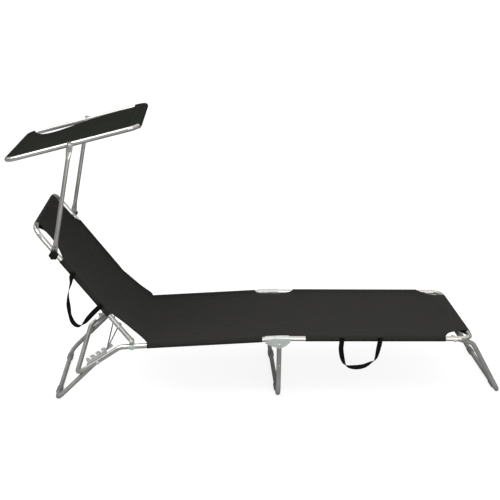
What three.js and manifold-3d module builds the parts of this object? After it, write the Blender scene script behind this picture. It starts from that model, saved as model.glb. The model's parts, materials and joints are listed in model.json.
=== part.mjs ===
// Folding sun lounger with a canopy: three sling sections on bent tube frames,
// three folding legs, a backrest propped by a wire bail in toothed combs,
// and a cloth canopy that tilts on two swinging arms. Millimetres, +Z up.
// X runs from the head end to the foot end, and near means the side of -Y.
import * as THREE from "three";
import { mergeVertices } from "three/addons/utils/BufferGeometryUtils.js";
import Module from "manifold-3d";

const wasm = await Module();
wasm.setup();

// Bed frame: the joint between seat and foot section is its reference point
const railHalfWidth = 280;
const railRadius = 9.5;
const tubeWall = 1;
const jointX = 73;
const jointHeight = 251;
const buttGap = 1;
const seatSlopeDeg = 2.4;
const footSlopeDeg = 0.9;
const seatLength = 551;
const kinkFromHinge = 44;
const headSlopeDeg = 32.9;
const headLength = 196;
const footLength = 729;
const frameCornerRadius = 42;
const kinkRadius = 45;

// Clearances and fasteners
const seatGap = 0.3;
const cutOverrun = 5;
const rivetRadius = 3;
const rivetHoleGap = 0.45;
const rivetHeadRadius = 6.5;
const rivetHeadHeight = 2.4;
const rivetTailRadius = 4.6;
const rivetTailHeight = 1.2;
const rivetDomeShare = 0.6;
const shimRadius = 6;
const shimThickness = 0.9;
const plateThickness = 2;

// Backrest and its hinge
const hingeRise = 22;
const backrestLength = 549;
const backrestAngleDeg = 52.3;
const backrestTail = 6;
const hingeBossRadius = 9;
const railBossRadius = 10;
const railWasherRadius = 11.5;
const railWasherThickness = 0.9;

// Toothed combs and the wire bail that props the backrest
const bailPivotFromHinge = 74;
const bailWireRadius = 2.5;
const bailInset = 17.5;
const bailBendRadius = 7;
const bailEyeRadius = 7;
const bushRadius = 7;
const notchCount = 4;
const notchPitch = 25;
const firstNotch = 50;
const notchGap = 0.4;
const combTailShare = 0.7;
const combWebGap = 5.5;
const combWebThickness = 2.5;
const combFlangeThickness = 2;
const combFlangeLength = 3;
const combToothHeight = 14.5;
const combTailHeight = 4;
const combLobeRadius = 11;
const combRivetInset = 10;
const combFlangeInset = 1;
const combRivetHeadHeight = 1.6;
const combRivetHeadRadius = 5;

// Legs, bent from a slightly thinner tube, with plastic shoes
const legRadius = 9;
const legInset = 20.5;
const legCornerRadius = 34;
const headLegFromKink = 102;
const headLegPivotDrop = 3;
const headLegOverhang = 5;
const headLegCornerRise = 2.3;
const midLegTopInset = 2;
const midLegSplay = 18;
const midLegLean = 1;
const midLegOverhang = 7;
const footLegFromEnd = 65;
const footLegPivotDrop = 4.5;
const footLegOverhang = 9;
const footLegAngleDeg = 16.4;
const footLegKneeLength = 79;
const footLegDropAngleDeg = 61.3;
const footLegKneeRadius = 34;
const footLegBraceLength = 32;
const footLegBraceRadius = 5.5;
const shoeWall = 2.5;
const shoeLength = 44;
const shoeInset = 87.5;

// Brackets and cover at the middle joint
const foldPivotDrop = 22;
const coverHeadLength = 54;
const coverFootLength = 36;
const coverWall = 2;
const plateInset = 0.15;
const jointPlateRadius = 13;
const seatPlateHeight = 12;
const seatRivetInset = 12;
const jointRivetDrop = 5;
const footPlateHeadLength = 28;
const footPlateLength = 40;
const footPlateRise = 3;
const footPlateHeight = 12;
const plateLobeFromDeg = 240;
const plateLobeToDeg = 300;
const seatLobeToDeg = 405;
const seatBowShare = 0.5;
const footBowShare = 0.55;
const headBowShare = 0.45;
const footRivetLength = 14;
const footRivetPitch = 18;
const standoffRadius = 4;
const shankLength = 6;

// Canopy, its arms and knobs
const knobFromTop = 113;
const armLength = 402;
const armAngleDeg = 79.4;
const armRadius = 8;
const armStandOff = 20.3;
const armFlatHalfThickness = 2.2;
const armFlatHalfWidth = 11;
const armFlatLength = 24;
const armTaperLength = 24;
const armOverhang = 11;
const saddleRadius = 10;
const saddleDepth = 4;
const canopyHeadLength = 236.3;
const canopyFootLength = 247.4;
const canopySlopeDeg = 14.15;
const canopyInset = 0.6;
const canopyRadius = 8.5;
const canopyCornerRadius = 36;
const spacerRadius = 8;
const boltHeadRadius = 7;
const boltHeadHeight = 2.2;
const boltEngagement = 8;
const boltEndGap = 1;
const knobRadius = 17;
const knobThickness = 13;
const knobLobes = 6;
const knobLobeDepth = 2.6;
const knobBossRadius = 9;
const knobBossThickness = 4.5;
const wingLength = 14;
const wingThickness = 3.2;
const wingRise = 3;
const wingHubRadius = 6;
const wingHubThickness = 9;

// Cloth of the slings and the canopy; an edge is [distance from the end, inset from the rail]
const clothThickness = 1.2;
const slingSag = 7;
const slingTautLength = 180;
const seatNeckLength = 53;
const seatSleeveLength = 64;
const footNeckLength = 85;
const footSleeveLength = 98;
const jointNeckInset = 15;
const seatHingeEdge = [[58, 0], [45, 12], [35, 44], [26, 78]];
const footEndEdge = [[101, 0], [78, 38], [42, 63], [0, 66]];
const backHingeEdge = [[5, 74], [51, 69], [114, 7], [128, 0]];
const backTopEdge = [[148, 0], [142, 24], [106, 53], [70, 66], [0, 66]];
const canopySag = 20;
const canopySideInset = 30;
const canopySleeveLength = 10;
const canopyEdgeGap = 1.5;

// Carry straps of flat webbing on the near side
const strapWidth = 20;
const strapThickness = 1.6;
const strapTab = 8;
const footStrapStart = 232;
const footStrapLength = 147;
const footStrapDrop = 108;
const footStrapLowShare = 0.36;
const backStrapStart = 178;
const backStrapLength = 152;
const backStrapDrop = 70;
const backStrapLowShare = 0.86;
const strapTurnShares = [0.25, 0.6];

// Counts of facets and steps
const tubeSides = 12;
const roundSides = 10;
const holeSides = 8;
const wireSides = 8;
const bendSteps = 4;
const kinkSteps = 3;
const arcSteps = 6;
const knobSteps = 6;
const sheetColumns = 8;
const canopyRows = 8;
const strapSteps = 16;

const metal = { color: 0xb9b8b4, metalness: 0.9, roughness: 0.32 };
const legMetal = { color: 0x8b8b88, metalness: 0.6, roughness: 0.5 };
const zinc = { color: 0xb9c7bf, metalness: 0.7, roughness: 0.4 };
const wireMetal = { color: 0x8f8f8c, metalness: 0.9, roughness: 0.35 };
const fabric = { color: 0x2b2b29, metalness: 0, roughness: 0.9 };
const webbing = { color: 0x101010, metalness: 0, roughness: 0.85 };
const blackPlastic = { color: 0x121212, metalness: 0, roughness: 0.55 };
const greyPlastic = { color: 0x6f6f6b, metalness: 0, roughness: 0.6 };

const sides = [["near", -1], ["far", 1]];
const across = new THREE.Vector3(0, 1, 0);
const lounger = new THREE.Group();
lounger.name = "sun_lounger";

// Places in the side view are [X, Z]

function direction(degrees) {
  const angle = THREE.MathUtils.degToRad(degrees);
  return [Math.cos(angle), Math.sin(angle)];
}

function inSpace([x, z], y) {
  return new THREE.Vector3(x, y, z);
}

function between(from, to, part) {
  return from.map((value, i) => value + (to[i] - value) * part);
}

// A line of the side view: lengths run along it, heights stand off its upper face
function lineFrom(start, degrees, up) {
  const [c, s] = direction(degrees);
  return {
    at: (along, height = 0) => [
      start[0] + c * along - up * s * height,
      start[1] + s * along + up * c * height,
    ],
    along: new THREE.Vector3(c, 0, s),
    normal: new THREE.Vector3(-up * s, 0, up * c),
  };
}

// Solids

// Merges equal corners, drops empty facets and turns every facet outward
function solidOf(geometry) {
  const bare = new THREE.BufferGeometry();
  bare.setAttribute("position", geometry.getAttribute("position").clone());
  if (geometry.index) bare.setIndex(geometry.index.clone());
  const merged = mergeVertices(bare);
  const place = merged.getAttribute("position");
  const corners = [0, 1, 2].map(() => new THREE.Vector3());
  const kept = [];
  let volume = 0;
  for (let i = 0; i < merged.index.count; i += 3) {
    const facet = [0, 1, 2].map((k) => merged.index.getX(i + k));
    if (new Set(facet).size < 3) continue;
    facet.forEach((index, k) => corners[k].fromBufferAttribute(place, index));
    volume += corners[0].dot(corners[1].cross(corners[2]));
    kept.push(facet);
  }
  const facets = volume < 0 ? kept.map(([a, b, c]) => [a, c, b]) : kept;
  const mesh = new wasm.Mesh({
    numProp: 3,
    vertProperties: place.array,
    triVerts: new Uint32Array(facets.flat()),
  });
  return new wasm.Manifold(mesh);
}

function solidFrom(vertices, facets) {
  const geometry = new THREE.BufferGeometry();
  const positions = vertices.flatMap((vertex) => [...vertex]);
  geometry.setAttribute("position", new THREE.Float32BufferAttribute(positions, 3));
  geometry.setIndex(facets);
  return solidOf(geometry);
}

function join(...solids) {
  return solids.reduce((whole, piece) => whole.add(piece));
}

function cut(solid, ...tools) {
  return tools.reduce((whole, tool) => whole.subtract(tool), solid);
}

function addPiece(name, solid, finish) {
  const mesh = solid.getMesh();
  const geometry = new THREE.BufferGeometry();
  geometry.setAttribute("position", new THREE.BufferAttribute(mesh.vertProperties, 3));
  geometry.setIndex(new THREE.BufferAttribute(mesh.triVerts, 1));
  geometry.computeVertexNormals();
  const piece = new THREE.Mesh(geometry, new THREE.MeshStandardMaterial(finish));
  piece.name = name;
  lounger.add(piece);
}

function addPair(name, makeSolid, finish) {
  for (const [sideName, side] of sides) addPiece(`${name}_${sideName}`, makeSolid(side), finish);
}

// Sections of equal corner count, closed by the same flat outline at both ends
function loft(sections, flat) {
  const count = flat.length;
  const end = (sections.length - 1) * count;
  const facets = [];
  for (let i = 0; i < end; i += count) {
    for (let k = 0; k < count; k += 1) {
      const next = (k + 1) % count;
      facets.push(i + k, i + next, i + count + next);
      facets.push(i + k, i + count + next, i + count + k);
    }
  }
  const corners = flat.map(([x, y]) => new THREE.Vector2(x, y));
  for (const [a, b, c] of THREE.ShapeUtils.triangulateShape(corners, [])) {
    facets.push(a, c, b, end + a, end + b, end + c);
  }
  return solidFrom(sections.flat(), facets);
}

function outline(points) {
  return new THREE.Shape(points.map(([x, z]) => new THREE.Vector2(x, z)));
}

// A flat outline pushed along a third direction
function prism(shape, start, xWay, yWay, pushWay, length) {
  const geometry = new THREE.ExtrudeGeometry(shape, { depth: length, bevelEnabled: false });
  const place = new THREE.Matrix4().makeBasis(xWay, yWay, pushWay);
  place.setPosition(start);
  return solidOf(geometry.applyMatrix4(place));
}

// A side view outline between two distances off the middle
function sidePlate(points, side, innerY, outerY) {
  const start = new THREE.Vector3(0, side * innerY, 0);
  const xWay = new THREE.Vector3(1, 0, 0);
  const zWay = new THREE.Vector3(0, 0, 1);
  const outward = new THREE.Vector3(0, side, 0);
  return prism(outline(points), start, xWay, zWay, outward, outerY - innerY);
}

function arc([x, z], radius, fromDeg, toDeg, steps = arcSteps) {
  const points = [];
  for (let i = 0; i <= steps; i += 1) {
    const [c, s] = direction(fromDeg + ((toDeg - fromDeg) * i) / steps);
    points.push([x + radius * c, z + radius * s]);
  }
  return points;
}

function bow(from, control, to) {
  const ends = [from, control, to].map(([x, z]) => new THREE.Vector2(x, z));
  const curve = new THREE.QuadraticBezierCurve(...ends);
  return curve.getPoints(arcSteps).map(({ x, y }) => [x, y]);
}

// A round piece about an axis across the lounger, from [distance off the middle, radius] pairs
function turned([x, z], side, profile, count = roundSides) {
  const points = profile.map(([y, radius]) => new THREE.Vector2(radius, side * y));
  const geometry = new THREE.LatheGeometry(points, count);
  geometry.translate(x, 0, z);
  return solidOf(geometry);
}

function pin(centre, side, radius, innerY, outerY, count = roundSides) {
  const profile = [[innerY, 0], [innerY, radius], [outerY, radius], [outerY, 0]];
  return turned(centre, side, profile, count);
}

function rivetHole(centre, side, innerY, outerY) {
  const radius = rivetRadius + rivetHoleGap;
  return pin(centre, side, radius, innerY - cutOverrun, outerY + cutOverrun, holeSides);
}

// A clinched tail inside, a shank and a domed head outside
function rivet(centre, side, tailY, headY) {
  return turned(centre, side, [
    [tailY - rivetTailHeight, 0],
    [tailY - rivetTailHeight, rivetTailRadius],
    [tailY, rivetTailRadius],
    [tailY, rivetRadius],
    [headY, rivetRadius],
    [headY, rivetHeadRadius],
    [headY + rivetHeadHeight, rivetHeadRadius * rivetDomeShare],
    [headY + rivetHeadHeight, 0],
  ]);
}

// A bolt with its head inside and its end in a knob
function bolt(centre, side, seatY, endY) {
  const head = pin(centre, side, boltHeadRadius, seatY - boltHeadHeight, seatY);
  return join(head, pin(centre, side, rivetRadius, seatY - boltHeadHeight / 2, endY));
}

function rodBetween(from, to, radius, count = roundSides) {
  const axis = to.clone().sub(from);
  const geometry = new THREE.CylinderGeometry(radius, radius, axis.length(), count);
  geometry.translate(0, axis.length() / 2, 0);
  const turn = new THREE.Quaternion().setFromUnitVectors(across, axis.normalize());
  geometry.applyQuaternion(turn);
  geometry.translate(...from);
  return solidOf(geometry);
}

function ringOutline(outer, inner, firstDeg) {
  const [outside, inside] = [outer, inner].map((radius) =>
    arc([0, 0], radius, firstDeg, firstDeg + 360, tubeSides).slice(1)
  );
  const shape = outline(outside);
  shape.holes.push(outline(inside));
  return shape;
}

// Bent tubes

// Stations along straight runs that are joined by arcs
function bentPath(points, radii, steps) {
  const ways = points.slice(1).map((point, i) => point.clone().sub(points[i]).normalize());
  const stations = [{ point: points[0], along: ways[0] }];
  for (let i = 1; i < points.length - 1; i += 1) {
    const [before, after] = [ways[i - 1], ways[i]];
    const turn = before.angleTo(after);
    const radius = radii[i - 1];
    const inward = after.clone().addScaledVector(before, -Math.cos(turn)).normalize();
    const start = points[i].clone().addScaledVector(before, -radius * Math.tan(turn / 2));
    for (let k = 0; k <= steps[i - 1]; k += 1) {
      const angle = (turn * k) / steps[i - 1];
      const point = start.clone().addScaledVector(before, radius * Math.sin(angle));
      point.addScaledVector(inward, radius * (1 - Math.cos(angle)));
      const along = before.clone().multiplyScalar(Math.cos(angle));
      along.addScaledVector(inward, Math.sin(angle));
      stations.push({ point, along });
    }
  }
  stations.push({ point: points.at(-1), along: ways.at(-1) });
  return stations;
}

// Rings of corners round each station; a station may flatten and square its ring
function ringsRound(stations, radius, count, firstSide) {
  const side = firstSide.clone();
  let before = stations[0].along;
  return stations.map(({ point, along, width = radius, thickness = radius, squareness = 1 }) => {
    side.applyQuaternion(new THREE.Quaternion().setFromUnitVectors(before, along));
    side.addScaledVector(along, -side.dot(along)).normalize();
    before = along;
    const sideNow = side.clone();
    const up = along.clone().cross(side);
    return (inset) =>
      Array.from({ length: count }, (_, k) => {
        const [c, s] = direction((k / count) * 360);
        const outward = Math.sign(c) * Math.abs(c) ** squareness * (thickness - inset);
        const corner = point.clone().addScaledVector(sideNow, outward);
        return corner.addScaledVector(up, s * (width - inset));
      });
  });
}

// A tube that is open at both ends
function hollowTube(stations, radius, wall, firstSide = across) {
  const rings = ringsRound(stations, radius, tubeSides, firstSide);
  const vertices = rings.flatMap((ringAt) => [...ringAt(0), ...ringAt(wall)]);
  const facets = [];
  const quad = (a, b, c, d) => facets.push(a, b, c, a, c, d);
  const ring = 2 * tubeSides;
  const last = (stations.length - 1) * ring;
  for (let k = 0; k < tubeSides; k += 1) {
    const next = (k + 1) % tubeSides;
    const [inner, innerNext] = [k + tubeSides, next + tubeSides];
    for (let i = 0; i < last; i += ring) {
      quad(i + k, i + next, i + ring + next, i + ring + k);
      quad(i + innerNext, i + inner, i + ring + inner, i + ring + innerNext);
    }
    quad(next, k, inner, innerNext);
    quad(last + k, last + next, last + innerNext, last + inner);
  }
  return solidFrom(vertices, facets);
}

function roundWire(stations, radius) {
  const rings = ringsRound(stations, radius, wireSides, across).map((ringAt) => ringAt(0));
  return loft(rings, arc([0, 0], radius, 0, 360, wireSides).slice(0, wireSides));
}

// Lines and places that several pieces share

const jointCentre = [jointX, jointHeight];
const seatLine = lineFrom(jointCentre, 180 + seatSlopeDeg, -1);
const footLine = lineFrom(jointCentre, -footSlopeDeg, 1);
const hingeOnRail = seatLine.at(seatLength);
const kink = seatLine.at(seatLength + kinkFromHinge);
const headLine = lineFrom(kink, 180 + headSlopeDeg, -1);
const headEnd = headLine.at(headLength);
const footEnd = footLine.at(footLength);
const foldPivot = [jointX, jointHeight - foldPivotDrop];
const hinge = [hingeOnRail[0], hingeOnRail[1] + hingeRise];
const backLine = lineFrom(hinge, 180 - backrestAngleDeg, -1);
const backTop = backLine.at(backrestLength);
const bailTop = backLine.at(bailPivotFromHinge);
const knobAlong = backrestLength - knobFromTop;
const knobCentre = backLine.at(knobAlong);
const armLine = lineFrom(knobCentre, armAngleDeg, 1);
const canopyPivot = armLine.at(armLength);
const canopyLine = lineFrom(canopyPivot, canopySlopeDeg, 1);

const legHalfWidth = railHalfWidth - legInset;
const midLegTopHalfWidth = railHalfWidth - midLegTopInset;
const midLegGroundHalfWidth = midLegTopHalfWidth - midLegSplay;
const shoeHalfWidth = legHalfWidth - shoeInset;
const bailHalfWidth = railHalfWidth - bailInset;
const armHalfWidth = railHalfWidth + armStandOff;
const canopyHalfWidth = railHalfWidth - canopyInset;
const railInner = railHalfWidth - railRadius;
const railOuter = railHalfWidth + railRadius;
const facetFactor = Math.cos(Math.PI / tubeSides);

const headLegPivot = headLine.at(headLegFromKink, -headLegPivotDrop);
const footLegPivot = footLine.at(footLength - footLegFromEnd, -footLegPivotDrop);
const seatRivet = seatLine.at(coverHeadLength - seatRivetInset, -jointRivetDrop);
const footRivets = [0, 1].map((i) =>
  footLine.at(footRivetLength + i * footRivetPitch, -jointRivetDrop)
);

// Frame tubes

// Two side rails and a crossbar, given as places from the open end to the crossbar
function uFrame(places, radii, steps) {
  const near = places.map((place) => inSpace(place, -railHalfWidth));
  const far = places.map((place) => inSpace(place, railHalfWidth)).reverse();
  const allRadii = [...radii, ...radii.toReversed()];
  return bentPath([...near, ...far], allRadii, [...steps, ...steps.toReversed()]);
}

function onBothSides(makeTool) {
  return sides.map(([, side]) => makeTool(side));
}

function railHoles(centre) {
  return onBothSides((side) => rivetHole(centre, side, railInner, railOuter));
}

function outerWallHoles(centre) {
  return onBothSides((side) => rivetHole(centre, side, railHalfWidth + cutOverrun, railOuter));
}

// Comb heights stand above the axis of the head rail
const flangeLow = railRadius + seatGap;
const flangeTop = flangeLow + combFlangeThickness;
const notchRadius = bailWireRadius + notchGap;
const notchHeight = flangeTop + seatGap + notchRadius;
const webOuter = bailHalfWidth - bailWireRadius - combWebGap;
const webInner = webOuter - combWebThickness;
const lobeAlong = firstNotch - notchRadius - combLobeRadius;
const combStart = lobeAlong - combLobeRadius;
const lastNotch = firstNotch + (notchCount - 1) * notchPitch;
const combEnd = lastNotch + notchPitch * combTailShare;
const flangeStart = firstNotch + notchRadius + combFlangeInset;
const combRivets = [flangeStart + combRivetInset, combEnd - combRivetInset];
const bailFoot = headLine.at(firstNotch, notchHeight);

function combShank(along, side, radius, fromHeight, toHeight, count = holeSides) {
  const [foot, head] = [fromHeight, toHeight].map((height) =>
    inSpace(headLine.at(along, height), side * railHalfWidth)
  );
  return rodBetween(foot, head, radius, count);
}

function combHoles() {
  const holeRadius = rivetRadius + rivetHoleGap;
  return combRivets.flatMap((along) =>
    onBothSides((side) => combShank(along, side, holeRadius, 0, flangeTop))
  );
}

const seatPath = uFrame(
  [seatLine.at(buttGap / 2), kink, headEnd],
  [kinkRadius, frameCornerRadius],
  [kinkSteps, bendSteps]
);
const seatHoles = [
  ...railHoles(hingeOnRail),
  ...railHoles(headLegPivot),
  ...outerWallHoles(seatRivet),
  ...combHoles(),
];
addPiece("seat_frame_tube", cut(hollowTube(seatPath, railRadius, tubeWall), ...seatHoles), metal);

const footPath = uFrame([footLine.at(buttGap / 2), footEnd], [frameCornerRadius], [bendSteps]);
const footHoles = [...railHoles(footLegPivot), ...footRivets.flatMap(outerWallHoles)];
addPiece("foot_frame_tube", cut(hollowTube(footPath, railRadius, tubeWall), ...footHoles), metal);

const backPath = uFrame([backLine.at(-backrestTail), backTop], [frameCornerRadius], [bendSteps]);
const backHoles = [...railHoles(hinge), ...railHoles(knobCentre)];
addPiece("backrest_tube", cut(hollowTube(backPath, railRadius, tubeWall), ...backHoles), metal);

// Backrest hinge: a plate inside the rail, riveted to it, that carries the backrest

const hingePlateOuter = railInner - seatGap;
const hingePlateInner = hingePlateOuter - plateThickness;

function hingePlate(side) {
  const points = [
    ...arc(hingeOnRail, railBossRadius, 180, 360),
    ...arc(hinge, hingeBossRadius, 0, 180),
  ];
  const plate = sidePlate(points, side, hingePlateInner, hingePlateOuter);
  const washerY = railOuter + seatGap;
  const washerTop = washerY + railWasherThickness;
  const washer = pin(hingeOnRail, side, railWasherRadius, washerY, washerTop);
  const bore = rivetHole(hinge, side, hingePlateInner, hingePlateOuter);
  const tailY = hingePlateInner + plateThickness / 4;
  const fixing = rivet(hingeOnRail, side, tailY, washerTop - railWasherThickness / 2);
  return join(cut(plate, bore), washer, fixing);
}

addPair("backrest_hinge_plate", hingePlate, zinc);
addPair(
  "backrest_hinge_rivet",
  (side) => rivet(hinge, side, hingePlateInner - seatGap, railOuter + seatGap),
  zinc
);

// Combs: each notch is followed by a tooth whose tip hooks over the next notch

const toothBackShares = [[0.04, 0.3], [0.22, 0.78], [0.5, 1], [0.84, 0.96]];
const toothHookShares = [[1.12, 0.66], [1, 0.5]];

function combOutline() {
  const top = flangeTop + combToothHeight;
  const lobe = [lobeAlong, top - combLobeRadius];
  const points = [[combStart, flangeLow], ...arc(lobe, combLobeRadius, 180, 20)];
  for (let i = 0; i < notchCount; i += 1) {
    const notch = firstNotch + i * notchPitch;
    const isLast = i === notchCount - 1;
    const start = notch + notchRadius;
    const end = isLast ? combEnd : notch + notchPitch - notchRadius;
    points.push(...arc([notch, notchHeight], notchRadius, 180, 360));
    const toothShares = isLast ? toothBackShares : [...toothBackShares, ...toothHookShares];
    for (const [alongShare, heightShare] of toothShares) {
      const along = start + (end - start) * alongShare;
      points.push([along, notchHeight + (top - notchHeight) * heightShare]);
    }
  }
  points.push([combEnd, flangeTop + combTailHeight], [combEnd, flangeLow]);
  return points.map(([along, height]) => headLine.at(along, height));
}

function comb(side) {
  const web = sidePlate(combOutline(), side, webInner, webOuter);
  const flangePoints = [
    headLine.at(flangeStart, flangeLow),
    headLine.at(flangeStart, flangeTop),
    headLine.at(combEnd, flangeTop),
    headLine.at(combEnd, flangeLow),
  ];
  const webMiddle = webInner + combWebThickness / 2;
  const flange = sidePlate(flangePoints, side, webMiddle, railHalfWidth + combFlangeLength);
  const headTop = flangeTop + combRivetHeadHeight;
  const rivets = combRivets.flatMap((along) => [
    combShank(along, side, rivetRadius, railRadius / 2, flangeTop),
    combShank(along, side, combRivetHeadRadius, (flangeLow + flangeTop) / 2, headTop),
  ]);
  return join(web, flange, ...rivets);
}

addPair("ratchet_comb", comb, zinc);

// Wire bail: its crossbar lies in the top notch, and the eye of each leg sits beside a bush

function bailEye(side) {
  const geometry = new THREE.TorusGeometry(bailEyeRadius, bailWireRadius, wireSides, 2 * wireSides);
  geometry.rotateX(Math.PI / 2);
  geometry.translate(bailTop[0], side * bailHalfWidth, bailTop[1]);
  return solidOf(geometry);
}

const bailLength = Math.hypot(bailTop[0] - bailFoot[0], bailTop[1] - bailFoot[1]);
const bailLegTop = between(bailFoot, bailTop, 1 - bailEyeRadius / bailLength);
const bailPath = bentPath(
  [
    inSpace(bailLegTop, -bailHalfWidth),
    inSpace(bailFoot, -bailHalfWidth),
    inSpace(bailFoot, bailHalfWidth),
    inSpace(bailLegTop, bailHalfWidth),
  ],
  [bailBendRadius, bailBendRadius],
  [bendSteps, bendSteps]
);
const bailParts = [roundWire(bailPath, bailWireRadius), ...onBothSides(bailEye)];
addPiece("bail_wire", join(...bailParts), wireMetal);

const bushInner = bailHalfWidth + bailWireRadius + seatGap;
const bushOuter = railInner - seatGap;
addPair("bail_bush", (side) => pin(bailTop, side, bushRadius, bushInner, bushOuter), blackPlastic);

// Middle joint: the seat bracket covers both rails and hangs a plate, and the foot
// bracket is a plate outside it

const coverInner = railRadius + seatGap;
const coverOuter = coverInner + coverWall;
const seatPlateInner = railHalfWidth + coverInner + plateInset;
const seatPlateOuter = railHalfWidth + coverOuter - 2 * plateInset;
const footPlateInner = railHalfWidth + coverOuter + seatGap;
const footPlateOuter = footPlateInner + plateThickness;
const plateEdgeHeight = foldPivot[1] - jointPlateRadius / 2;

function jointCover(side) {
  const outside = arc([0, 0], coverOuter, 0, 180, tubeSides);
  const ring = [...outside, ...arc([0, 0], coverInner, 180, 0, tubeSides)];
  const places = [seatLine.at(coverHeadLength), jointCentre, footLine.at(coverFootLength)];
  const sections = places.map(([x, z]) =>
    ring.map(([y, height]) => inSpace([x, z + height], side * (railHalfWidth + y)))
  );
  return loft(sections, ring);
}

function headedShank(centre, side, headY) {
  const head = pin(centre, side, rivetHeadRadius, headY - coverWall / 2, headY + rivetHeadHeight);
  return join(head, pin(centre, side, rivetRadius, railOuter - shankLength, headY));
}

function seatBracket(side) {
  const corner = seatLine.at(coverHeadLength, coverWall / 2);
  const low = seatLine.at(coverHeadLength, -seatPlateHeight);
  const boss = arc(foldPivot, jointPlateRadius, plateLobeFromDeg, seatLobeToDeg);
  const bowLow = [between(low, boss[0], seatBowShare)[0], plateEdgeHeight];
  const jointCorner = seatLine.at(buttGap, coverWall / 2);
  const points = [corner, ...bow(low, bowLow, boss[0]), ...boss.slice(1), jointCorner];
  const plate = sidePlate(points, side, seatPlateInner, seatPlateOuter);
  const bore = rivetHole(foldPivot, side, seatPlateInner, seatPlateOuter);
  return join(cut(join(jointCover(side), plate), bore), headedShank(seatRivet, side, seatPlateOuter));
}

function footBracket(side) {
  const top = footLine.at(footPlateLength, footPlateRise);
  const low = footLine.at(footPlateLength, footPlateRise - footPlateHeight);
  const headTop = footLine.at(-footPlateHeadLength, footPlateRise);
  const headLow = footLine.at(-footPlateHeadLength, footPlateRise - footPlateHeight);
  const boss = arc(foldPivot, jointPlateRadius, plateLobeFromDeg, plateLobeToDeg);
  const footBowX = between(boss.at(-1), low, footBowShare)[0];
  const headBowX = between(headLow, boss[0], headBowShare)[0];
  const footBow = bow(boss.at(-1), [footBowX, plateEdgeHeight], low);
  const headBow = bow(headLow, [headBowX, plateEdgeHeight], boss[0]);
  const points = [...headBow, ...boss.slice(1, -1), ...footBow, top, headTop];
  const plate = sidePlate(points, side, footPlateInner, footPlateOuter);
  const bore = rivetHole(foldPivot, side, footPlateInner, footPlateOuter);
  const fixings = footRivets.flatMap((centre) => [
    pin(centre, side, standoffRadius, railOuter + seatGap, footPlateOuter + rivetHeadHeight),
    pin(centre, side, rivetRadius, railOuter - shankLength, footPlateOuter),
  ]);
  return join(cut(plate, bore), ...fixings);
}

addPair("seat_joint_bracket", seatBracket, zinc);
addPair("foot_joint_bracket", footBracket, zinc);

// Legs: each is one bent tube with a crossbar on the ground, worn in two plastic shoes

const groundHeight = legRadius + seatGap + shoeWall;
const headLegContact = railRadius + legRadius + seatGap + headLegCornerRise;

function angleOf(from, to) {
  return THREE.MathUtils.radToDeg(Math.atan2(to[1] - from[1], to[0] - from[0]));
}

// The head leg leans on the bent corners of the seat frame, a little before its crossbar
const headLegLength = Math.hypot(headEnd[0] - headLegPivot[0], headEnd[1] - headLegPivot[1]);
const headLegTurn = THREE.MathUtils.radToDeg(Math.asin(headLegContact / headLegLength));
const headLegLine = lineFrom(headLegPivot, angleOf(headLegPivot, headEnd) + headLegTurn, -1);
const footLegTopLine = lineFrom(footLegPivot, -footLegAngleDeg, 1);
const footLegKnee = footLegTopLine.at(footLegKneeLength);
const footLegLine = lineFrom(footLegKnee, -footLegDropAngleDeg, 1);

function whereOnGround(start, way) {
  const length = (start[1] - groundHeight) / -way.z;
  return [start[0] + way.x * length, groundHeight];
}

const headLegGround = whereOnGround(headLegPivot, headLegLine.along);
const footLegGround = whereOnGround(footLegKnee, footLegLine.along);
const midLegGround = [foldPivot[0] - midLegLean, groundHeight];

// Places run from the pivot to the ground, and the tube goes on past the pivot by an overhang
function legTube(places, halfWidths, overhang, kneeRadii) {
  const branch = (side) => {
    const points = places.map((place, i) => inSpace(place, side * halfWidths[i]));
    const beyond = points[0].clone().sub(points[1]).setLength(overhang);
    return [points[0].clone().add(beyond), ...points.slice(1)];
  };
  const radii = [...kneeRadii, legCornerRadius, legCornerRadius, ...kneeRadii];
  const path = bentPath([...branch(-1), ...branch(1).reverse()], radii, radii.map(() => bendSteps));
  const tube = hollowTube(path, legRadius, tubeWall);
  const [inner, outer] = [halfWidths[0] - legRadius, halfWidths[0] + legRadius];
  return cut(tube, ...onBothSides((side) => rivetHole(places[0], side, inner, outer)));
}

function shoe(ground, side) {
  const [outer, inner] = [groundHeight, legRadius + seatGap].map((flat) => flat / facetFactor);
  const start = inSpace(ground, side * (shoeHalfWidth - shoeLength / 2));
  const xWay = new THREE.Vector3(1, 0, 0);
  const zWay = new THREE.Vector3(0, 0, 1);
  const outward = new THREE.Vector3(0, side, 0);
  const ring = ringOutline(outer, inner, 180 / tubeSides);
  return prism(ring, start, xWay, zWay, outward, shoeLength);
}

// The shim fills the space between the leg and the plate or rail outside it
function legRivet(centre, side, tubeY, shimY, headY) {
  const tailY = tubeY - legRadius - seatGap - shimThickness;
  const shim = pin(centre, side, shimRadius, shimY - shimThickness, shimY);
  return join(rivet(centre, side, tailY, headY), shim);
}

const headLegTube = legTube(
  [headLegPivot, headLegGround],
  [legHalfWidth, legHalfWidth],
  headLegOverhang,
  []
);
addPiece("head_leg_tube", headLegTube, legMetal);
addPair("head_leg_shoe", (side) => shoe(headLegGround, side), greyPlastic);

const midLegTube = legTube(
  [foldPivot, midLegGround],
  [midLegTopHalfWidth, midLegGroundHalfWidth],
  midLegOverhang,
  []
);
addPiece("mid_leg_tube", midLegTube, legMetal);
addPair("mid_leg_shoe", (side) => shoe(midLegGround, side), greyPlastic);

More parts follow.
